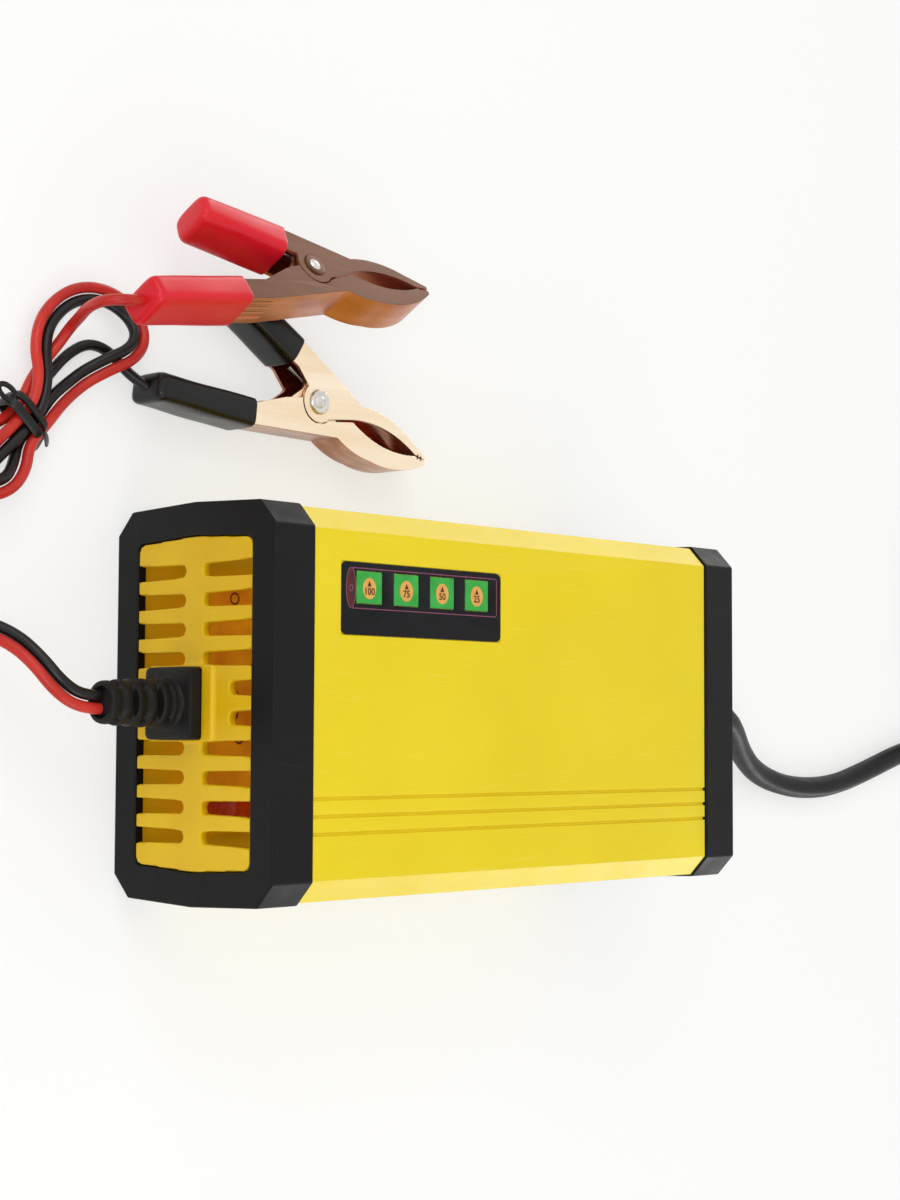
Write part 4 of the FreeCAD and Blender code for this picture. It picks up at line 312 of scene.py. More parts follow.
RED_FACING = (0.0, 0.4848, 0.8746)  # the way the red clip's cheeks face
SATIN = {"Specular IOR Level": 0.3}  # a moulded or printed skin, duller than a polished one
DULL = {"Specular IOR Level": 0.16}  # black resin with its grain worn open
INNER = (32.7, 18.7, 48.0)  # half width, half thickness and their sum, just outside the shells' inner faces
CASE_MIDDLE = 21  # height of the case's middle
PAINTED_GLOW_INSIDE = 0.12  # strength of the painted glow inside the shells
FINISHES = {made.name: made for made in (
    case_resin("moulded_yellow_abs"),
    # The same resin in the thin comb, its yellow deepened as painted shade for its end face, which gets less light
    surface("comb_yellow_painted_shade", ("#DCAE04", "#E4BC08"), (0.32, 0.42), 14, 0.4, 0.010, **SATIN),
    # Black ABS with a fine matt grain
    surface("grained_black_abs", ("#0A0A0A", "#0F0F0F"), (0.42, 0.54), 22, 0.5, 0.014,
            marks=("#1A1A1A", 0.7, 0.4), scuffs=("#222222", 0.6, 0.3), **DULL),
    # Soft PVC of the strain reliefs and the plug: dull black, slightly dusty
    surface("soft_black_pvc", ("#141313", "#1C1A19"), (0.4, 0.54), 8, 0.6, 0.012,
            marks=("#221F1E", 1.1, 0.4), **DULL),
    # Dipped vinyl of the black handles: smooth and glossier, with long soft folds and a painted highlight along
    # its crests
    surface("dipped_black_vinyl", ("#0A0A0A", "#121212"), (0.24, 0.34), 6, 2.2, 0.05,
            stretch=(0.35, 1, 1), edge=("#2A2A2A", 0.4), **SATIN),
    # Dipped vinyl of the red handles, with a painted highlight along its crests
    surface("dipped_red_vinyl", ("#D2101E", "#DC1A2B"), (0.28, 0.38), 8, 2.4, 0.04,
            stretch=(0.35, 1, 1), edge=("#EE4A56", 0.5), **SATIN),
    # Extruded PVC of the lead's cores: smooth skin drawn along the wire
    surface("extruded_red_pvc", ("#B0201C", "#CB3327"), (0.26, 0.38), 10, 0.7, 0.012, **SATIN),
    surface("extruded_black_pvc", ("#0E0B0B", "#171314"), (0.26, 0.38), 10, 0.7, 0.012, **SATIN),
    # Mains lead: thicker PVC sheath with a duller, faintly powdered skin
    surface("sheath_black_pvc", ("#0B0C0B", "#121412"), (0.36, 0.48), 14, 0.9, 0.016, **DULL),
    # Polyester display film, back printed dark violet-black: flat and glossy
    surface("printed_dark_film", ("#08070A", "#0E0B11"), (0.24, 0.34), 7, 1.2, 0.004,
            marks=("#2A2430", 0.35, 0.3), **DULL),
    surface("printed_magenta_ink", ("#7E3C5A", "#91506D"), (0.35, 0.45), 3, 0.3, 0.004, **SATIN),
    surface("printed_cream_ink", ("#DC9C48", "#E6B05C"), (0.35, 0.45), 2, 0.3, 0.004, **SATIN),
    surface("printed_maroon_ink", ("#3A0C0A", "#551410"), (0.35, 0.45), 2, 0.3, 0.004, **SATIN),
    # Copper-plated spring steel; the cheeks carry a painted reflection: dark painted shade on the red clip's, a
    # pale painted highlight on the black clip's
    plated("copper_plate_painted_dark_cheeks", RED_FACING, 50.5, ("#4C2E1A", "#5A351D"),
           ("#B5745A", "#CF9078"), "#D2603A", (0.3, 0.4)),
    plated("copper_plate_painted_bright_cheeks", (0, 0, 1), 7.2, ("#F6DDBC", "#FFF0D8"),
           ("#9C6C52", "#CC9A7E"), "#B4482A", (0.22, 0.34)),
    # Nickel-plated brass rivets: cool and bright with fine tumbling dents
    surface("tumbled_nickel", ("#C9C6C1", "#E2DFDA"), (0.24, 0.34), 1.5, 0.5, 0.003, Metallic=1.0),
    # Zinc-plated spring wire and screws: blue-grey with a slight haze
    surface("zinc_plated_steel", ("#9EA3A8", "#C3C7CA"), (0.26, 0.4), 3, 0.35, 0.008,
            Metallic=1.0),
    # Turned brass plug pins, nickelled
    surface("turned_pin_metal", ("#BDB49C", "#DDD5BF"), (0.18, 0.3), 4, 0.25, 0.006,
            stretch=(1, 0.1, 1), Metallic=1.0),
    # Sintered ferrite: dark, dull grey-black and slightly sandy
    surface("sintered_ferrite", ("#1E1E22", "#2C2C31"), (0.6, 0.75), 5, 0.4, 0.03,
            **SATIN),
    # Shrunk PVC sleeves of the capacitors
    surface("shrunk_blue_sleeve", ("#141A33", "#1F2A52"), (0.24, 0.34), 6, 0.8, 0.01,
            marks=("#A9B3C6", 1.4, 0.7)),
    # Extruded aluminium, die lines along its length
    surface("extruded_aluminium", ("#A9ABAD", "#CFD1D2"), (0.3, 0.45), 8, 0.3, 0.012,
            stretch=(1, 1, 0.1), Metallic=1.0),
    # Moulded epoxy of the semiconductors: charcoal, fine matt
    surface("moulded_epoxy", ("#1D1D1F", "#29292B"), (0.5, 0.62), 4, 0.3, 0.015),
    # Dipped resin of the small capacitors: brick-red and shiny, edges thin
    surface("dipped_red_resin", ("#C93A16", "#E2521C"), (0.2, 0.32), 5, 1.0, 0.02),
    # Tinned brass of the fuse clips
    surface("tinned_brass", ("#B9AE8E", "#D4CBB0"), (0.25, 0.4), 3, 0.4, 0.01, Metallic=1.0),
    # Clear-water green lens of the lamps
    surface("cast_green_lens", ("#1F8A2A", "#35B03E"), (0.12, 0.2), 2, 0.5, 0.004),
    # Paper-covered tie wire in black PVC
    surface("tie_black_pvc", ("#0C0D0D", "#171818"), (0.32, 0.46), 3, 0.5, 0.02,
            **SATIN),
    phenolic_board("phenolic_board"),
    wound_tape("wound_tape"),
    lit_window("lit_window"),
    glass_tube("glass_tube"),
)}


# ---------------------------------------------------------------- making pieces

SHARP = math.radians(35)  # edges that turn more than this are shaded sharp
ROLLED = math.radians(32)  # and those that turn more than this are rolled over
DOUBLES = 0.002  # points nearer than this are one


def settle(name, mesh, finish, stands_for=(), body="charger"):
    """Turns a finished mesh into a piece: its finish, its smooth shading, its body and the nodes it stands for."""
    mesh.shade_smooth()
    mesh.set_sharp_from_angle(angle=SHARP)
    mesh.materials.clear()
    mesh.materials.append(FINISHES[finish])
    piece = linked(name, mesh)
    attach(piece, body)
    if stands_for:
        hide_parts(*stands_for)
    return piece


def to_mesh(shape, name):
    """A bmesh as a new mesh."""
    mesh = bpy.data.meshes.new(name)
    shape.to_mesh(mesh)
    shape.free()
    return mesh


def merged(node):
    """A copy of a solid's mesh with its doubles merged."""
    shape = bmesh.new()
    shape.from_mesh(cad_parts[node].data)
    bmesh.ops.remove_doubles(shape, verts=shape.verts, dist=DOUBLES * MM)
    return shape


def dressed(node, finish, width=0.3, body="charger", segments=2):
    """A solid's mesh with its flat faces joined and its sharp edges rolled over, flat faces shaded flat."""
    shape = merged(node)
    bmesh.ops.dissolve_limit(shape, angle_limit=math.radians(1.5), verts=shape.verts, edges=shape.edges)
    name = node + "_dressed"
    piece = settle(name, to_mesh(shape, name), finish, (node,), body)
    roll = piece.modifiers.new("rolled_edges", "BEVEL")
    roll.width, roll.segments = width * MM, segments
    roll.limit_method, roll.angle_limit = "ANGLE", ROLLED
    roll.harden_normals, roll.miter_outer = True, "MITER_ARC"
    return piece


def softened(node, finish):
    """A solid's mesh, drawn again on an even 0.3 mm grid and smoothed, so that every edge melts a little."""
    name = node + "_softened"
    piece = settle(name, to_mesh(merged(node), name), finish, (node,))
    redrawn = piece.modifiers.new("even_grid", "REMESH")
    redrawn.mode, redrawn.voxel_size, redrawn.use_smooth_shade = "VOXEL", 0.3 * MM, True
    melted = piece.modifiers.new("melted_edges", "SMOOTH")
    melted.factor, melted.iterations = 0.5, 3
    return piece


def skin(name, rows, ring=False):
    """A mesh over a grid of points, rows along the piece and columns round it.

    ring joins the last row to the first; otherwise each open end is drawn together on its own middle.
    """
    grid = np.asarray(rows, float) * MM
    if not ring:
        first, last = (np.broadcast_to(end.mean(1, keepdims=True), end.shape) for end in (grid[:1], grid[-1:]))
        grid = np.concatenate([first, grid, last])
    count, around = grid.shape[:2]
    i = np.arange(count if ring else count - 1)[:, None]
    j = np.arange(around)[None, :]
    corners = ((i, j), (i, j + 1), (i + 1, j + 1), (i + 1, j))
    faces = np.stack([(a % count) * around + b % around for a, b in corners], -1).reshape(-1, 4)
    mesh = bpy.data.meshes.new(name)
    mesh.from_pydata(grid.reshape(-1, 3).tolist(), [], faces.tolist())
    shape = bmesh.new()
    shape.from_mesh(mesh)
    bmesh.ops.remove_doubles(shape, verts=shape.verts, dist=1e-8)
    bmesh.ops.recalc_face_normals(shape, faces=shape.faces)
    shape.to_mesh(mesh)
    shape.free()
    return mesh


def join(name, meshes):
    """Several closed meshes as one."""
    shape = bmesh.new()
    for mesh in meshes:
        shape.from_mesh(mesh)
        bpy.data.meshes.remove(mesh)
    return to_mesh(shape, name)


def turned(name, profile, foot=(0, 0, 0), axis=(0, 0, 1), columns=48):
    """A solid of revolution: each (distance along the axis, radius) becomes a ring of points."""
    axis = unit(axis)
    side = unit(np.cross(axis, (0.3, 0.5, 0.8)))
    angle = all_round(columns)
    ring = np.cos(angle)[:, None] * side + np.sin(angle)[:, None] * np.cross(axis, side)
    along, radius = np.array(profile, float).T
    return skin(name, np.array(foot) + along[:, None, None] * axis + radius[:, None, None] * ring)


def carried(name, path, profile, up=(0, 0, 1), ring=False):
    """A closed profile (across, up) carried along a path, square to it; up says which way is up at each point."""
    path = np.asarray(path, float)
    if ring:
        way = unit(np.roll(path, -1, 0) - np.roll(path, 1, 0))
    else:
        way = unit(np.gradient(path, axis=0))
    up = np.broadcast_to(np.asarray(up, float), path.shape)
    across = unit(np.cross(way, up))
    rise = np.cross(across, way)
    wide, tall = np.asarray(profile, float)[None, :, :1], np.asarray(profile, float)[None, :, 1:]
    return skin(name, path[:, None] + wide * across[:, None] + tall * rise[:, None], ring)


def oval(half_width, half_height, power=2.0, columns=24):
    """A superellipse: |x/a|^n + |y/b|^n = 1, by angle."""
    angle = all_round(columns) + 0.01
    return np.stack([half_width * signed_power(np.cos(angle), 2 / power),
                     half_height * signed_power(np.sin(angle), 2 / power)], 1)


def smooth_step(value):
    """0 below 0, 1 above 1, and an S-curve between: 3t^2 - 2t^3."""
    t = np.clip(value, 0, 1)
    return t * t * (3 - 2 * t)


# ---------------------------------------------------------------- leads

CORE, SPACING, SHEATH = 2.0, 2.15, 5.3  # diameters and the cores' spacing
LIFT = 0.9 + CORE / 2  # a core's middle, on the tie's band
HIGH = LIFT + SPACING
BOOT_TIP = (-82.2, 87.7)
BOOT_HEIGHT = 17.6
TIE_AT, TIE_WAY = np.array((-88.0, 48.7)), np.array((0.682, 0.731))
TIE_RIGHT = np.array((0.731, -0.682))
OUTPUT_COIL = {"centre": (-133.2, 30.1), "start": 0, "turns": 2.88, "radius": 19.3}
MAINS_COIL = {"centre": (242.0, 28.0), "start": -90, "turns": 3.25, "radius": 33.5}
LAYER_GAP = 0.45  # between a coil's turns
PLUG_ENTRY = (274.16, 60.3, 6.85)


def at_tie(along, across, height):
    """A place by the visible tie: along the bundle, across it to its right, and above the surface."""
    x, y = TIE_AT + TIE_WAY * along + TIE_RIGHT * across
    return x, y, height


def beside(points, offset):
    """A route moved to its right in plan, by the mean of the runs at each point, further at a corner."""
    route = np.array(points, float)
    runs = unit(np.diff(route[:, :2], axis=0))
    come, leave = np.vstack([runs[:1], runs]), np.vstack([runs, runs[-1:]])
    mean = unit(come + leave)
    reach = offset / np.maximum((mean * come).sum(1), 0.5)
    route[:, 0] += mean[:, 1] * reach
    route[:, 1] -= mean[:, 0] * reach
    return route


def raised(points, which, rise):
    """The same points, with one of them lifted."""
    moved = [tuple(p) for p in points]
    x, y, z = moved[which]
    moved[which] = (x, y, z + rise)
    return moved


class Spiral:
    """Piled turns: the radius falls by the pitch each turn to halfway and grows again, while the height
    goes over from the lower layer to the upper one in half a turn."""

    EASE = 0.15  # turns to each side of halfway in which the pitch turns round

    def __init__(self, centre, start, turns, radius, pitch, low, high, outset=0.0):
        self.centre, self.start, self.turns = centre, math.radians(start), turns
        self.radius, self.pitch, self.low, self.high, self.outset = radius, pitch, low, high, outset

    def point(self, turned_by):
        """Places after so many turns."""
        t = np.asarray(turned_by, float)
        half = self.turns / 2
        away = np.abs(t - half)
        away = np.where(away < self.EASE, self.EASE / 2 + away**2 / (2 * self.EASE), away)
        radius = self.radius - self.pitch * (half - away) + self.outset
        height = self.low + (self.high - self.low) * smooth_step((t - half + 0.25) / 0.5)
        angle = self.start + 2 * np.pi * t
        x, y = self.centre
        return np.stack([x + radius * np.cos(angle), y + radius * np.sin(angle), height], -1)

    def heading(self, turned_by):
        """The direction there."""
        return unit(self.point(turned_by + 1e-4) - self.point(turned_by - 1e-4))

    def controls(self):
        """Its control points, 24 for each turn."""
        return self.point(np.linspace(0, self.turns, round(self.turns * 24) + 1))


def lead(name, points, thickness, finish, stands_for):
    """One smooth cord: an open spline of order 3 whose control points are the route's, with a round section."""
    points = np.array([tuple(p) for p in points], float) * MM
    curve = bpy.data.curves.new(name, "CURVE")
    curve.dimensions = "3D"
    line = curve.splines.new("NURBS")
    line.points.add(len(points) - 1)
    line.points.foreach_set("co", np.hstack([points, np.ones((len(points), 1))]).ravel())
    line.order_u = 3
    line.use_endpoint_u = True
    line.resolution_u = 6
    curve.bevel_depth, curve.bevel_resolution = thickness / 2 * MM, 4
    curve.use_fill_caps = True
    curve.materials.append(FINISHES[finish])
    piece = linked(name, curve)
    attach(piece, "charger")
    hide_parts(*stands_for)
    return piece


def output_cores():
    """The red and the black core, from the strain relief by the coil, the tie and the loops to the clips."""
    half = SPACING / 2
    face = BOOT_TIP[0]
    tail = [
        (face, 0, BOOT_HEIGHT), (face - 3.8, 0, BOOT_HEIGHT), (face - 7.8, 2.4, BOOT_HEIGHT - 0.8),
        (face - 10.4, 6.8, 14.4), (face - 12.6, 10.4, 10.6), (face - 16.0, 12.6, 6.2),
        (face - 20.6, 13.6, 3.1), (face - 25.6, 14.8, LIFT), (face - 29.4, 18.6, LIFT),
        (face - 31.7, 25.7, LIFT),
    ]
    loop = [
        at_tie(8.2, -2.9, HIGH - 0.1), at_tie(11.2, -6.6, 3.3), at_tie(15.6, -8.6, 2.3),
        (-80.6, 69.6, 1.7), (-76.8, 72.2, 1.5), (-72.4, 73.3, 1.6), (-68.0, 72.6, 2.0),
        (-64.6, 69.8, 3.2), (-64.0, 65.8, 4.6), (-66.8, 62.4, 5.5), (-70.8, 60.4, 4.7),
        (-74.8, 57.9, 3.0), at_tie(12.5, 3.1, 2.0), at_tie(7.8, 2.5, 1.95),
    ]
    hairpin = [
        at_tie(-7.6, 4.4, 4.8), at_tie(-12.6, 4.4, 6.4), at_tie(-17.4, 1.4, 7.0),
        at_tie(-19.4, -3.6, 6.2), at_tie(-17.0, -8.0, 4.6), at_tie(-13.2, -7.8, 3.0),
        at_tie(-8.8, -4.0, 2.0),
    ]
    split_red = [
        at_tie(-3, -2.15, LIFT), at_tie(3, -2.15, LIFT), at_tie(7.2, -3.2, 1.3), at_tie(11.8, -3.7, 1.4),
        (-81.0, 62.6, 2.8), (-80.2, 65.6, 5.4), (-81.0, 66.6, 8.9), (-82.4, 67.3, 12.5),
        (-83.4, 67.7, 16.4), (-83.2, 67.9, 20.0), (-80.3, 68.0, 21.8), (-76.9, 68.45, 21.36),
    ]
    split_black = [
        at_tie(-4.8, 0, LIFT), at_tie(3, 0, LIFT), at_tie(7.6, -1.1, 1.2), at_tie(12.4, -1.4, 1.2),
        (-77.4, 61.8, 1.2), (-73.6, 64.0, 1.2), (-70.0, 63.7, 1.3), (-67.2, 61.8, 1.8),
        (-65.1, 58.9, 3.2), (-62.4, 57.01, 4.71),
    ]
    cores = {}
    for colour, side, first, back, split in (
        ("red", -half, -1.1, (3.3, HIGH), split_red),
        ("black", half, 1.1, (2.2, LIFT), split_black),
    ):
        coil = Spiral(**OUTPUT_COIL, pitch=SPACING + CORE + LAYER_GAP, low=LIFT, high=LIFT + CORE + LAYER_GAP,
                      outset=half + side)
        into, onward = coil.heading(0), coil.heading(coil.turns)
        arrive, leave = coil.point(0) - into * CORE, coil.point(coil.turns) + onward * CORE
        approach = [
            leave,
            leave + onward * 9,
            at_tie(-24, first - 0.3, HIGH + 0.25),
            at_tie(-12, first - 0.7, HIGH + 0.25),
            at_tie(-3, first, HIGH),
            at_tie(3, first, HIGH),
        ]
        route = raised(loop, -1, 0.7) if colour == "red" else raised(loop, 0, -0.5)
        turn_back = raised(hairpin, 0, 0.55 if colour == "red" else -0.55)
        points = [
            *beside(tail, side)[:-1],
            arrive - into * 4.4,
            arrive,
            *coil.controls(),
            *approach,
            *beside([at_tie(3, 0, HIGH), *route, at_tie(3, 2.7, HIGH)], side)[1:-1],
            at_tie(3, *back),
            at_tie(-3, *back),
            *beside([at_tie(-3, 2.7, HIGH), *turn_back, at_tie(-3, -half, LIFT)], side)[1:-1],
            *split,
        ]
        nodes = [f"{colour}_lead_{stretch}" for stretch in ("tail", "coil", "loops")]
        cores[colour] = lead(f"{colour}_core", points, CORE, f"extruded_{colour}_pvc", nodes)
    return cores


def mains_cord():
    """The mains lead: from its strain relief along the surface, round its coil and up to the plug."""
    face = BOOT_TIP[1]
    lift = 0.9 + SHEATH / 2
    coil = Spiral(**MAINS_COIL, pitch=SHEATH + 0.5, low=lift, high=lift + SHEATH + LAYER_GAP)
    into, onward = coil.heading(0), coil.heading(coil.turns)
    arrive, leave = coil.point(0) - into * SHEATH, coil.point(coil.turns) + onward * SHEATH
    points = [
        (face, 0, BOOT_HEIGHT),
        (face + 8.0, -0.3, BOOT_HEIGHT - 0.2),
        (face + 17.0, -4.0, 13.6),
        (face + 26.0, -8.4, 8.8),
        (face + 36.0, -12.9, 5.0),
        (face + 47.0, -16.3, 3.1),
        (face + 60.0, -18.3, 2.75),
        (face + 75.0, -17.9, 2.7),
        (face + 91.0, -14.2, 2.75),
        (face + 108.0, -9.6, 2.7),
        (face + 124.0, -6.9, 2.9),
        arrive - into * 10.0,
        arrive,
        *coil.controls(),
        leave,
        leave + onward * 6.0,
        (leave[0] - 0.5, leave[1] + 13.0, leave[2] - 0.7),
        (PLUG_ENTRY[0], PLUG_ENTRY[1] - 7.0, PLUG_ENTRY[2]),
        PLUG_ENTRY,
    ]
    nodes = ("mains_lead", "mains_lead_coil", "mains_plug_stretch")
    return lead("mains_cord", points, SHEATH, "sheath_black_pvc", nodes)


# ---------------------------------------------------------------- strain reliefs

TIP_HOLE = 2.75  # radius at the sleeve's tip
FIRST_SLOT, SLOT_STEP = 2, 2.6  # from the block's face, and from slot to slot
SLOT_CHORD = 2.45  # from the axis to a slot's flat floor


def strain_relief(end, reach):
    """A moulded boot: superellipse sections, square for its block and round for its slotted sleeve.

    Each row has a distance from the block's face, a half width and a power. In a slot's rows the sleeve is
    cut back to a chord on two opposite sides, turned a quarter at the next slot; the slot narrows to its ends,
    and the rings between the slots swell a little.
    """
    angle = all_round(96)
    rows = [(-6.5, 0.1, 8), (-6.5, 6.4, 14), (-6.3, 6.65, 14), (-4.9, 6.65, 14), (-4.7, 6.5, 14), (-4.7, 6.12, 14),
            (-2.4, 6.12, 14), (-2.2, 6.3, 14), (-0.6, 6.3, 14), (-0.25, 6.2, 14), (-0.05, 5.9, 13), (0, 5.4, 10),
            (0, 4.95, 3), (0.12, 4.6, 2), (0.35, 4.42, 2), (0.7, 4.32, 2)]
    steps = np.arange(0.85, reach - 0.7, 0.08)
    rows += [(s, 4.3 - 0.65 * s / reach, 2) for s in steps]
    rows += [(reach - 0.55, 3.66, 2), (reach - 0.25, 3.55, 2), (reach - 0.05, 3.3, 2), (reach, 3.05, 2),
             (reach, TIP_HOLE + 0.15, 2), (reach - 0.15, TIP_HOLE, 2), (reach - 1.6, TIP_HOLE - 0.1, 2)]
    along, half, power = np.array(rows).T
    c, s = np.abs(np.cos(angle))[None], np.abs(np.sin(angle))[None]
    radius = half[:, None] * (c ** power[:, None] + s ** power[:, None]) ** (-1 / power[:, None])
    swell = smooth_step((along - 0.9) / 1.2) * smooth_step((reach - 0.9 - along) / 1.2)
    radius = radius + (0.16 * np.cos(2 * np.pi * (along - FIRST_SLOT) / SLOT_STEP + np.pi) * swell)[:, None]
    for k in range(int((reach - 1) / SLOT_STEP)):
        away = np.abs(along - (FIRST_SLOT + SLOT_STEP * k))[:, None]
        chord = SLOT_CHORD / np.maximum(c if k % 2 == 0 else s, 1e-6)
        sunk = np.maximum(radius - chord, 0)
        half_slot = 0.62 * np.sqrt(np.clip(sunk / 0.9, 0, 1))
        depth = smooth_step((half_slot - away) / 0.22 + 0.5) * ((along > 0.5) & (along < reach - 0.5))[:, None]
        radius = radius - sunk * depth
    way = -1 if end == "output" else 1
    x = way * (67.7 + along)[:, None] * np.ones_like(radius)
    grid = np.stack([x, radius * np.cos(angle), BOOT_HEIGHT + radius * np.sin(angle)], -1)
    name = f"{end}_strain_relief"
    settle(name, skin(name, grid), "soft_black_pvc", (f"{end}_boot",))


# ---------------------------------------------------------------- clips

CLIPS = {
    "red": (Matrix.Rotation(math.radians(-29), 3, "X"), (-34.1, 80.3, 14.8)),
    "black": (Matrix.Rotation(math.radians(-16.3), 3, "Z"), (-23.5, 58.6, 4.71)),
}
HANDLES = {  # root, slope in degrees, depth, start and end of the sleeve along it, which side
    "red_fixed": ((-14.0, -10.4), 10.4, 4.3, 6.5, 29.5, -1),
    "black_fixed": ((-14.0, -10.4), 10.4, 4.3, 0.5, 23.5, -1),
    "red_moving": ((-3.0, 7.0), 11.5, 5.0, 2.0, 21.0, 1),
    "black_moving": ((-3.0, 8.4), 15.5, 5.0, 4.5, 21.0, 1),
}


def laid(colour, points):
    """Points of a clip's own frame, laid where that clip lies."""
    turn, place = CLIPS[colour]
    return np.asarray(points, float) @ np.array(turn).T + np.array(place)


def vinyl_sleeve(colour, half):
    """A dipped sleeve over a handle: superellipse sections along it, rolled at the mouth, closed at the end.

    A slow wave along it, stronger towards its free end, gives the soft sag of vinyl.
    """
    (x, y), slope, depth, start, end, side = HANDLES[f"{colour}_{half}"]
    turn = math.radians(slope)
    tall = depth * math.cos(turn)
    high, wide = tall / 2 + 0.86, 4.66
    foot = np.array((x - tall / 2 * math.sin(turn), y - side * tall / 2 * math.cos(turn), 0))
    away = np.array((-math.cos(turn), side * math.sin(turn), 0))
    up = np.array((side * math.sin(turn), math.cos(turn), 0))
    rows = [(start + 5.0, -0.85), (start + 1.0, -0.82), (start + 0.25, -0.72), (start + 0.03, -0.5), (start, -0.3),
            (start + 0.08, -0.08), (start + 0.25, 0.0)]
    rows += [(s, 0.0) for s in np.linspace(start + 0.5, end - 1.4, 44)]
    rows += [(end - 0.8, -0.12), (end - 0.35, -0.4), (end - 0.1, -0.8), (end, -1.3)]
    along, inset = np.array(rows).T
    angle = all_round(64)
    free = smooth_step((along - start) / (end - start))[:, None]
    wave = np.sin(along[:, None] * 0.37 + 1.5 * np.sin(angle) + wide * side)
    sag = 0.07 * wave * np.cos(2 * angle + 0.6) * (0.4 + free)
    sag -= 0.07 + 0.12 * free * np.abs(np.sin(angle)) ** 3
    power = (5.2 if half == "fixed" else 4.6) - 1.2 * free
    across = (wide + inset[:, None] + sag) * signed_power(np.cos(angle)[None], 2 / power)
    rise = (high + inset[:, None] + sag) * signed_power(np.sin(angle)[None], 2 / power)
    grid = foot + along[:, None, None] * away + rise[..., None] * up + across[..., None] * np.array((0, 0, 1))
    name, body = f"{colour}_{half}_vinyl", "charger" if half == "fixed" else f"{colour}_clip_jaw"
    return settle(name, skin(name, laid(colour, grid)), f"dipped_{colour}_vinyl",
                  (f"{colour}_{half}_sleeve",), body)


def clip_rivet(colour):
    """A peened rivet, turned about its axis; each profile row is a height over the clip's middle and a radius.

    The black clip's has a wide bright head with a ring round a raised middle. The red clip's has a small bright
    dome on a flange that is plated as the clip is.
    """
    if colour == "black":
        end = [(4.46, 0.0), (4.44, 0.5), (4.36, 0.95), (4.16, 1.2), (4.12, 1.35), (4.24, 1.6), (4.34, 1.9),
               (4.28, 2.2), (4.05, 2.42), (3.86, 2.45), (3.84, 1.45)]
    else:
        end = [(4.46, 0.0), (4.42, 0.4), (4.28, 0.8), (4.05, 1.15), (3.98, 1.25), (3.98, 1.3), (3.6, 1.3)]
    profiles = {f"{colour}_peened_rivet": ("tumbled_nickel", end)}
    if colour == "red":
        flange = [(4.02, 0.0), (4.02, 1.9), (3.98, 2.25), (3.86, 2.4), (3.84, 1.45)]
        profiles["red_rivet_flange"] = ("copper_plate_painted_dark_cheeks", flange)
    pieces = []
    for name, (finish, end) in profiles.items():
        mesh = turned(name, end + [(-z, r) for z, r in reversed(end)])
        points = np.empty(len(mesh.vertices) * 3)
        mesh.vertices.foreach_get("co", points)
        mesh.vertices.foreach_set("co", (laid(colour, points.reshape(-1, 3) / MM) * MM).ravel())
        stands_for = (f"{colour}_rivet",) if finish == "tumbled_nickel" else ()
        pieces.append(settle(name, mesh, finish, stands_for))
    return pieces


def clip_spring(colour):
    """A torsion spring: a helix about the rivet with a straight leg along each handle, eased into the coil."""
    radius, pitch, wire, leg = 2.2, 1.25, 0.8, 8.5
    start, turns = math.radians(-76), 2 + 150 / 360
    t = np.linspace(0, turns, 110)
    angle = start + 2 * np.pi * t
    coil = np.stack([radius * np.cos(angle), radius * np.sin(angle), pitch * (t - turns / 2)], 1)
    begin, finish = (np.array((-math.sin(at), math.cos(at), 0)) for at in (angle[0], angle[-1]))
    first = coil[0] - begin * np.linspace(leg, 0.4, 8)[:, None]
    last = coil[-1] + finish * np.linspace(0.4, leg, 8)[:, None]
    path = laid(colour, np.vstack([first, coil, last]))
    up = np.array(CLIPS[colour][0]) @ np.array((0, 0, 1))
    name = f"{colour}_wound_spring"
    mesh = carried(name, path, oval(wire / 2, wire / 2, 2, 14), up)
    return settle(name, mesh, "zinc_plated_steel", (f"{colour}_spring",))


def pressed_ribs(colour):
    """Four short flutes pressed in the long handle's outer wall, as far as its sleeve."""
    (x, y), slope, _, start = HANDLES[f"{colour}_fixed"][:4]
    turn = math.radians(slope)
    away = np.array((-math.cos(turn), -math.sin(turn), 0))
    down = np.array((math.sin(turn), -math.cos(turn), 0))
    meshes = []
    for z in (-2.25, -0.75, 0.75, 2.25):
        s = np.linspace(-0.6, start + 0.6, 14)
        size = np.sqrt(np.clip(1 - ((s - s.mean()) / (np.ptp(s) / 2)) ** 8, 0.0004, 1))
        ring = oval(0.42, 0.2, 2, 12)
        grid = (np.array((x, y, z)) + s[:, None, None] * away
                + (ring[None, :, 0] * size[:, None])[..., None] * np.array((0, 0, 1))
                + (ring[None, :, 1] * size[:, None])[..., None] * down)
        meshes.append(skin("flute", laid(colour, grid)))
    name = f"{colour}_pressed_flutes"
    return settle(name, join(name, meshes), "copper_plate_painted_dark_cheeks")


def clip(colour):
    """All the pieces of one clip: its two jaws first, then sleeves, rivet, spring and pressed flutes."""
    plate = "copper_plate_painted_dark_cheeks" if colour == "red" else "copper_plate_painted_bright_cheeks"
    moving = f"{colour}_clip_jaw"
    return [
        dressed(f"{colour}_fixed_jaw", plate, 0.14),
        dressed(f"{colour}_moving_jaw", plate, 0.14, moving),
        vinyl_sleeve(colour, "fixed"),
        vinyl_sleeve(colour, "moving"),
        *clip_rivet(colour),
        clip_spring(colour),
        pressed_ribs(colour),
    ]


# ---------------------------------------------------------------- ties

def band_path(low, high, bottom, top, along, skew):
    """A round-cornered loop in the plane across a bundle, leaning along it by skew from side to side."""
    angle = all_round(72)
    half, tall = (high - low) / 2, (top - bottom) / 2
    across = (high + low) / 2 + half * signed_power(np.cos(angle), 0.5)
    rise = (top + bottom) / 2 + tall * signed_power(np.sin(angle), 0.5)
    return np.stack([along + skew * np.sin(angle), across, rise], 1)


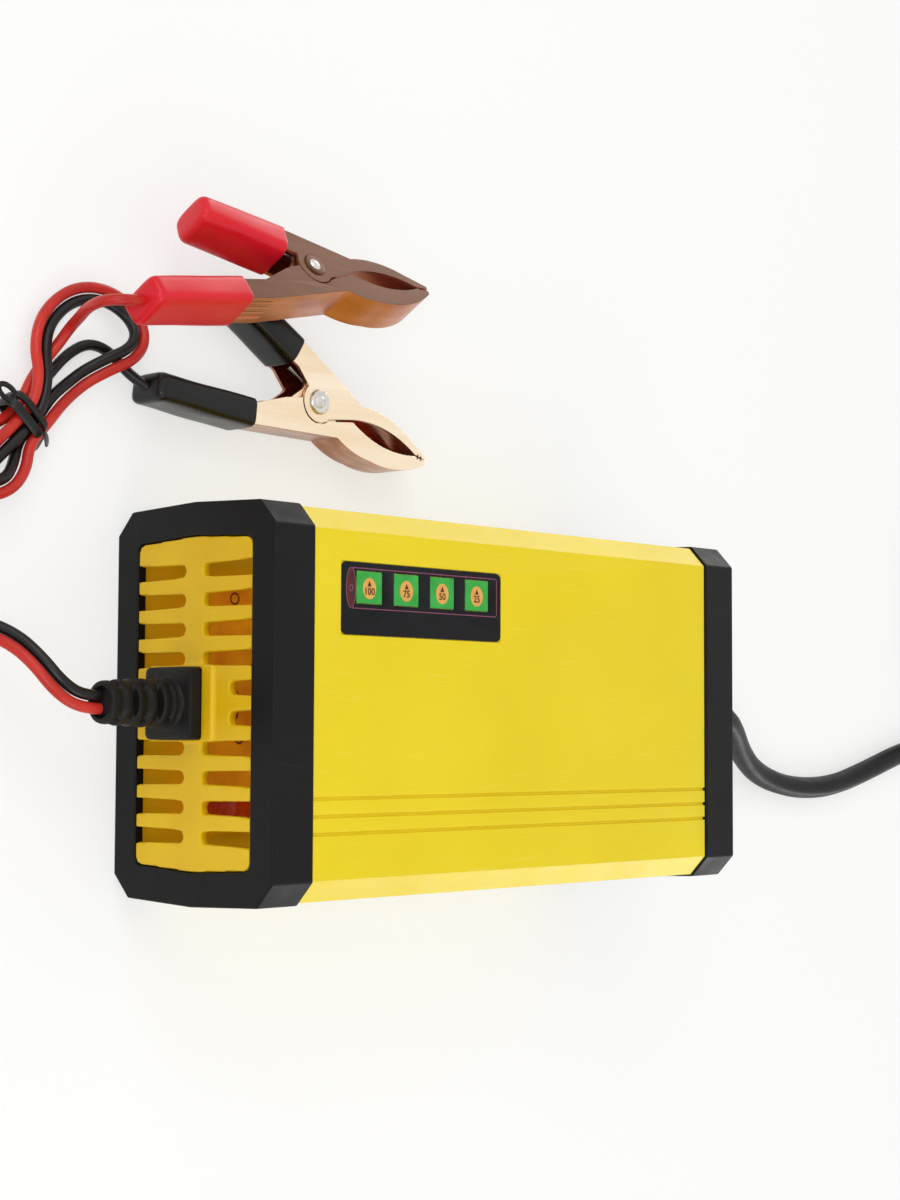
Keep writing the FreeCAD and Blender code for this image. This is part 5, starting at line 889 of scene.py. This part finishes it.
def visible_tie():
    """The black tie round the loops: two laps side by side, an eye at one end and two short tails."""
    strap = oval(0.85, 0.36, 4, 12)
    meshes = []

    def to_place(path):
        x, y = (TIE_AT + path[:, :1] * TIE_WAY + path[:, 1:2] * TIE_RIGHT).T
        return np.stack([x, y, path[:, 2]], 1)

    middle = np.array((*TIE_AT - TIE_RIGHT * 0.6, 3.0))
    for along, skew in ((-0.75, -0.35), (0.75, 0.4)):
        path = to_place(band_path(-4.75, 3.6, 0.42, 5.55, along, skew))
        meshes.append(carried("lap", path, strap, unit(path - middle), ring=True))
    angle = all_round(40)
    c, s = np.cos(angle), np.sin(angle)
    eye = to_place(np.stack([-0.2 + 1.1 * c, -6.0 + 1.7 * s, 4.4 + 0.5 * s], 1))
    meshes.append(carried("eye", eye, oval(0.5, 0.3, 3, 10), (0.2, 0.1, 1), ring=True))
    for turn, long in ((0.35, 3.6), (-0.25, 2.6)):
        s = np.linspace(0, 1, 14)
        path = np.stack([turn * 4 * s, 3.2 + long * s, 4.9 - 3.4 * s**1.5], 1)
        meshes.append(carried("tail", to_place(path), oval(0.6, 0.3, 4, 10), (0.1, 0, 1)))
    settle("lead_tie_band", join("lead_tie_band", meshes), "tie_black_pvc", ("lead_tie",))


# ---------------------------------------------------------------- the display's print

def ribbon(path, width, base, rise, closed):
    """A thin flat line of ink along a path in plan."""
    profile = np.array(((-width / 2, 0), (width / 2, 0), (width / 2, rise), (-width / 2, rise)))
    points = np.column_stack([np.asarray(path, float), np.full(len(path), base)])
    return carried("ink", points, profile, ring=closed)


def disc(x, y, half_width, half_height, base, rise):
    """A thin oval of ink."""
    edge = oval(half_width, half_height, 2, 48)
    rows = [np.column_stack([edge * size + (x, y), np.full(48, z)]) for size, z in ((1, base), (1, base + rise))]
    return skin("ink", np.array(rows))


def digits(text, x, y, height, base, rise):
    """Plain digits as a mesh, about a middle."""
    words = bpy.data.curves.new("digits", "FONT")
    words.body, words.align_x, words.align_y = text, "CENTER", "CENTER"
    words.size, words.extrude, words.offset = height * 1.35 * MM, rise / 2 * MM, 0.035 * MM
    holder = linked("digits", words)
    mesh = bpy.data.meshes.new_from_object(holder.evaluated_get(bpy.context.evaluated_depsgraph_get()))
    mesh.transform(Matrix.Translation((x * MM, y * MM, (base + rise / 2) * MM)))
    bpy.data.objects.remove(holder)
    bpy.data.curves.remove(words)
    return mesh


def printed_display():
    """The film's print: a battery's outline, and a disc with a small wedge and a number in each window."""
    top = 41.65
    left, right, upper, lower = -46.95, -9.3, 23.6, 16.6
    middle = (upper + lower) / 2
    angle = all_round(64)
    cap = np.stack([left + 1.15 * np.cos(angle), middle + (upper - lower) / 2 * np.sin(angle)], 1)
    stud = np.stack([left + 0.4 * np.cos(angle), middle + 0.55 * np.sin(angle)], 1)
    wall = [(left, upper), (right - 0.3, upper), (right, upper - 0.3), (right, lower + 0.3), (right - 0.3, lower),
            (left, lower)]
    ink = [ribbon(cap, 0.16, top - 0.01, 0.03, True), ribbon(stud, 0.14, top - 0.01, 0.03, True),
           ribbon(wall, 0.16, top - 0.01, 0.03, False)]
    settle("battery_outline", join("battery_outline", ink), "printed_magenta_ink")
    discs, figures = [], [disc(left, middle, 1.08, (upper - lower) / 2 - 0.07, top - 0.01, 0.02)]
    for k, text in zip((-1.5, -0.5, 0.5, 1.5), ("100", "75", "50", "25")):
        x, y = -28.6 + k * 9.25, 20.3 - 0.15
        discs.append(disc(x, y, 1.62, 1.85, top - 0.01, 0.03))
        figures.append(digits(text, x, y - 0.55, 1.3, top + 0.01, 0.03))
        wedge = np.array(((x - 0.5, y + 0.35), (x + 0.5, y + 0.35), (x, y + 1.35)))
        faces = [np.column_stack([wedge, np.full(3, z)]) for z in (top + 0.01, top + 0.04)]
        figures.append(skin("wedge", np.array(faces)))
    settle("number_discs", join("number_discs", discs), "printed_cream_ink")
    settle("charge_numbers", join("charge_numbers", figures), "printed_maroon_ink")


# ---------------------------------------------------------------- screws and plug

def cross_heads():
    """The case screws' heads, seen from the back: a pan head with a cross recess that narrows downwards.

    Height over a grid of radius and angle: a low dome, less a recess where both arms' bands reach.
    """
    radius = np.concatenate([np.linspace(0.02, 2.2, 34), [2.45, 2.65, 2.8, 2.8]])
    angle = all_round(96)
    r, a = radius[:, None], angle[None]
    x, y = np.abs(r * np.cos(a)), np.abs(r * np.sin(a))
    arm = np.maximum(smooth_step((0.42 - x) / 0.14) * smooth_step((1.5 - y) / 0.3),
                     smooth_step((0.42 - y) / 0.14) * smooth_step((1.5 - x) / 0.3))
    height = 0.35 * (1 - (r / 2.8) ** 2) - 1.1 * arm * (1 - 0.5 * (r / 1.6).clip(0, 1))
    height[-3], height[-2], height[-1] = 0.02, -0.15, -2.0
    meshes = []
    for sx in (-1, 1):
        for sy in (-1, 1):
            grid = np.stack([48 * sx + r * np.cos(a), 26.3 * sy + r * np.sin(a), 1.25 - height], -1)
            stem = [(-2.0, 1.5), (-20.0, 1.5), (-26.5, 1.45), (-27.75, 0.6)]
            low = turned("stem", stem, (48 * sx, 26.3 * sy, 1.25), (0, 0, -1), 20)
            meshes += [skin("head", grid), low]
    settle("case_screw_heads", join("case_screw_heads", meshes), "zinc_plated_steel",
           ("case_screws",))


# ---------------------------------------------------------------- the solids that stay

KEPT = {
    "main_board": "phenolic_board",
    "display_board": "phenolic_board",
    "transformer_core": "sintered_ferrite",
    "transformer_winding": "wound_tape",
    "mains_capacitor": "shrunk_blue_sleeve",
    "output_capacitors": "shrunk_blue_sleeve",
    "heatsink": "extruded_aluminium",
    "power_transistor": "moulded_epoxy",
    "heatsink_screw": "zinc_plated_steel",
    "rectifier": "moulded_epoxy",
    "fuse": "glass_tube",
    "fuse_clips": "tinned_brass",
    "suppression_capacitor": "dipped_red_resin",
    "film_capacitor": "dipped_red_resin",
    "control_parts": "moulded_epoxy",
    "inner_leads": "extruded_red_pvc",
    "indicator_leds": "cast_green_lens",
    "plug_pins": "turned_pin_metal",
}


def keep_solids():
    """Gives every solid that still shows its finish."""
    for node, finish in KEPT.items():
        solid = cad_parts[node]
        if not solid.material_slots:
            solid.data.materials.append(FINISHES[finish])
        for slot in solid.material_slots:
            slot.material = FINISHES[finish]


# ---------------------------------------------------------------- studio

def background_rays(tree):
    """1 for the rays that see the background itself: the camera's, and those by way of metal or glass."""
    camera_ray, glossy_ray, glass_ray = (
        add(tree, "LightPath", gives=f"Is {kind} Ray") for kind in ("Camera", "Glossy", "Transmission"))
    return calc(tree, "MAXIMUM", calc(tree, "MAXIMUM", camera_ray, glossy_ray), glass_ray)


def studio():
    """A pale floor, a sky that is bright overhead and darker low down, and five soft lamps."""
    floor_mesh = bpy.data.meshes.new("floor")
    floor_mesh.from_pydata([(-6, -6, 0), (6, -6, 0), (6, 6, 0), (-6, 6, 0)], [], [(0, 1, 2, 3)])
    made, tree, place = blank("pale_paper")
    tone = blend(tree, between(tree, noise(tree, place, 180.0), 0.3, 0.7), "#FBFBFA", "#FDFDFC")
    paper = add(tree, "BsdfPrincipled", {"Roughness": 0.6, "Specular IOR Level": 0.1}, {"Base Color": tone})
    white = add(tree, "Emission", {"Color": linear("#FDFDFC"), "Strength": 1.0})
    share = calc(tree, "MULTIPLY", background_rays(tree), 0.62)
    out(tree, add(tree, "MixShader", {}, {0: share, 1: paper, 2: white}, "Shader"))
    floor_mesh.materials.append(made)
    linked("floor", floor_mesh)

    world = bpy.data.worlds.new("studio")
    bpy.context.scene.world = world
    world.use_nodes = True
    tree = world.node_tree
    tree.nodes.clear()
    way = add(tree, "TexCoord", gives="Generated")
    lift = add(tree, "SeparateXYZ", {}, {"Vector": way}, "Z")
    glow = between(tree, lift, 0.1, 0.75, 0.2, 0.75)
    power = calc(tree, "MAXIMUM", glow, background_rays(tree))
    sky = add(tree, "Background", {"Color": linear("#FDFDFC")}, {"Strength": power})
    end = tree.nodes.new("ShaderNodeOutputWorld")
    tree.links.new(sky, end.inputs["Surface"])

    for name, place, width, height, watts in (
        ("soft_box_left", (-0.6, 0.95, 0.95), 0.8, 0.8, 4.6),
        ("soft_box_right", (-0.2, -1.1, 0.8), 0.8, 0.8, 4.2),
        ("soft_box_front", (-0.95, -0.1, 0.85), 0.5, 0.5, 3.2),
        ("strip_far_left", (1.0, 0.95, 0.1), 0.8, 0.16, 3.4),
        ("strip_far_right", (1.0, -0.9, 0.12), 0.8, 0.16, 3.4),
    ):
        lamp = bpy.data.lights.new(name, "AREA")
        lamp.shape, lamp.size, lamp.size_y, lamp.energy = "RECTANGLE", width, height, watts
        holder = linked(name, lamp)
        holder.visible_camera = False
        away = unit(np.array(place) - (0.0, 0.02, 0.02))
        holder.matrix_world = seated(unit(np.cross((0.1, 0.2, 1.0), away)), away, place)
    bpy.context.scene.view_settings.view_transform = "Standard"


# ---------------------------------------------------------------- the whole object

camera()
studio()
for half in ("front", "rear"):
    dressed(f"{half}_shell", "moulded_yellow_abs", 0.28, segments=3)
for end, reach in (("output", 14.5), ("mains", 20.0)):
    dressed(f"{end}_end_frame", "grained_black_abs", 0.35, segments=3)
    softened(f"{end}_vent_comb", "comb_yellow_painted_shade")
    strain_relief(end, reach)
dressed("display_film", "printed_dark_film", 0.06)
dressed("light_windows", "lit_window", 0.08)
printed_display()
cross_heads()
visible_tie()
plug = dressed("plug_body", "soft_black_pvc", 0.5, segments=3)
keep_solids()
for node in ("lead_coil_tie", "mains_coil_tie"):
    dressed(node, "tie_black_pvc", 0.2)

clips = {colour: clip(colour) for colour in CLIPS}
cores = output_cores()
cord = mains_cord()
for colour, length in (("red", 0.558), ("black", 0.571)):
    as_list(clips[colour][2:])
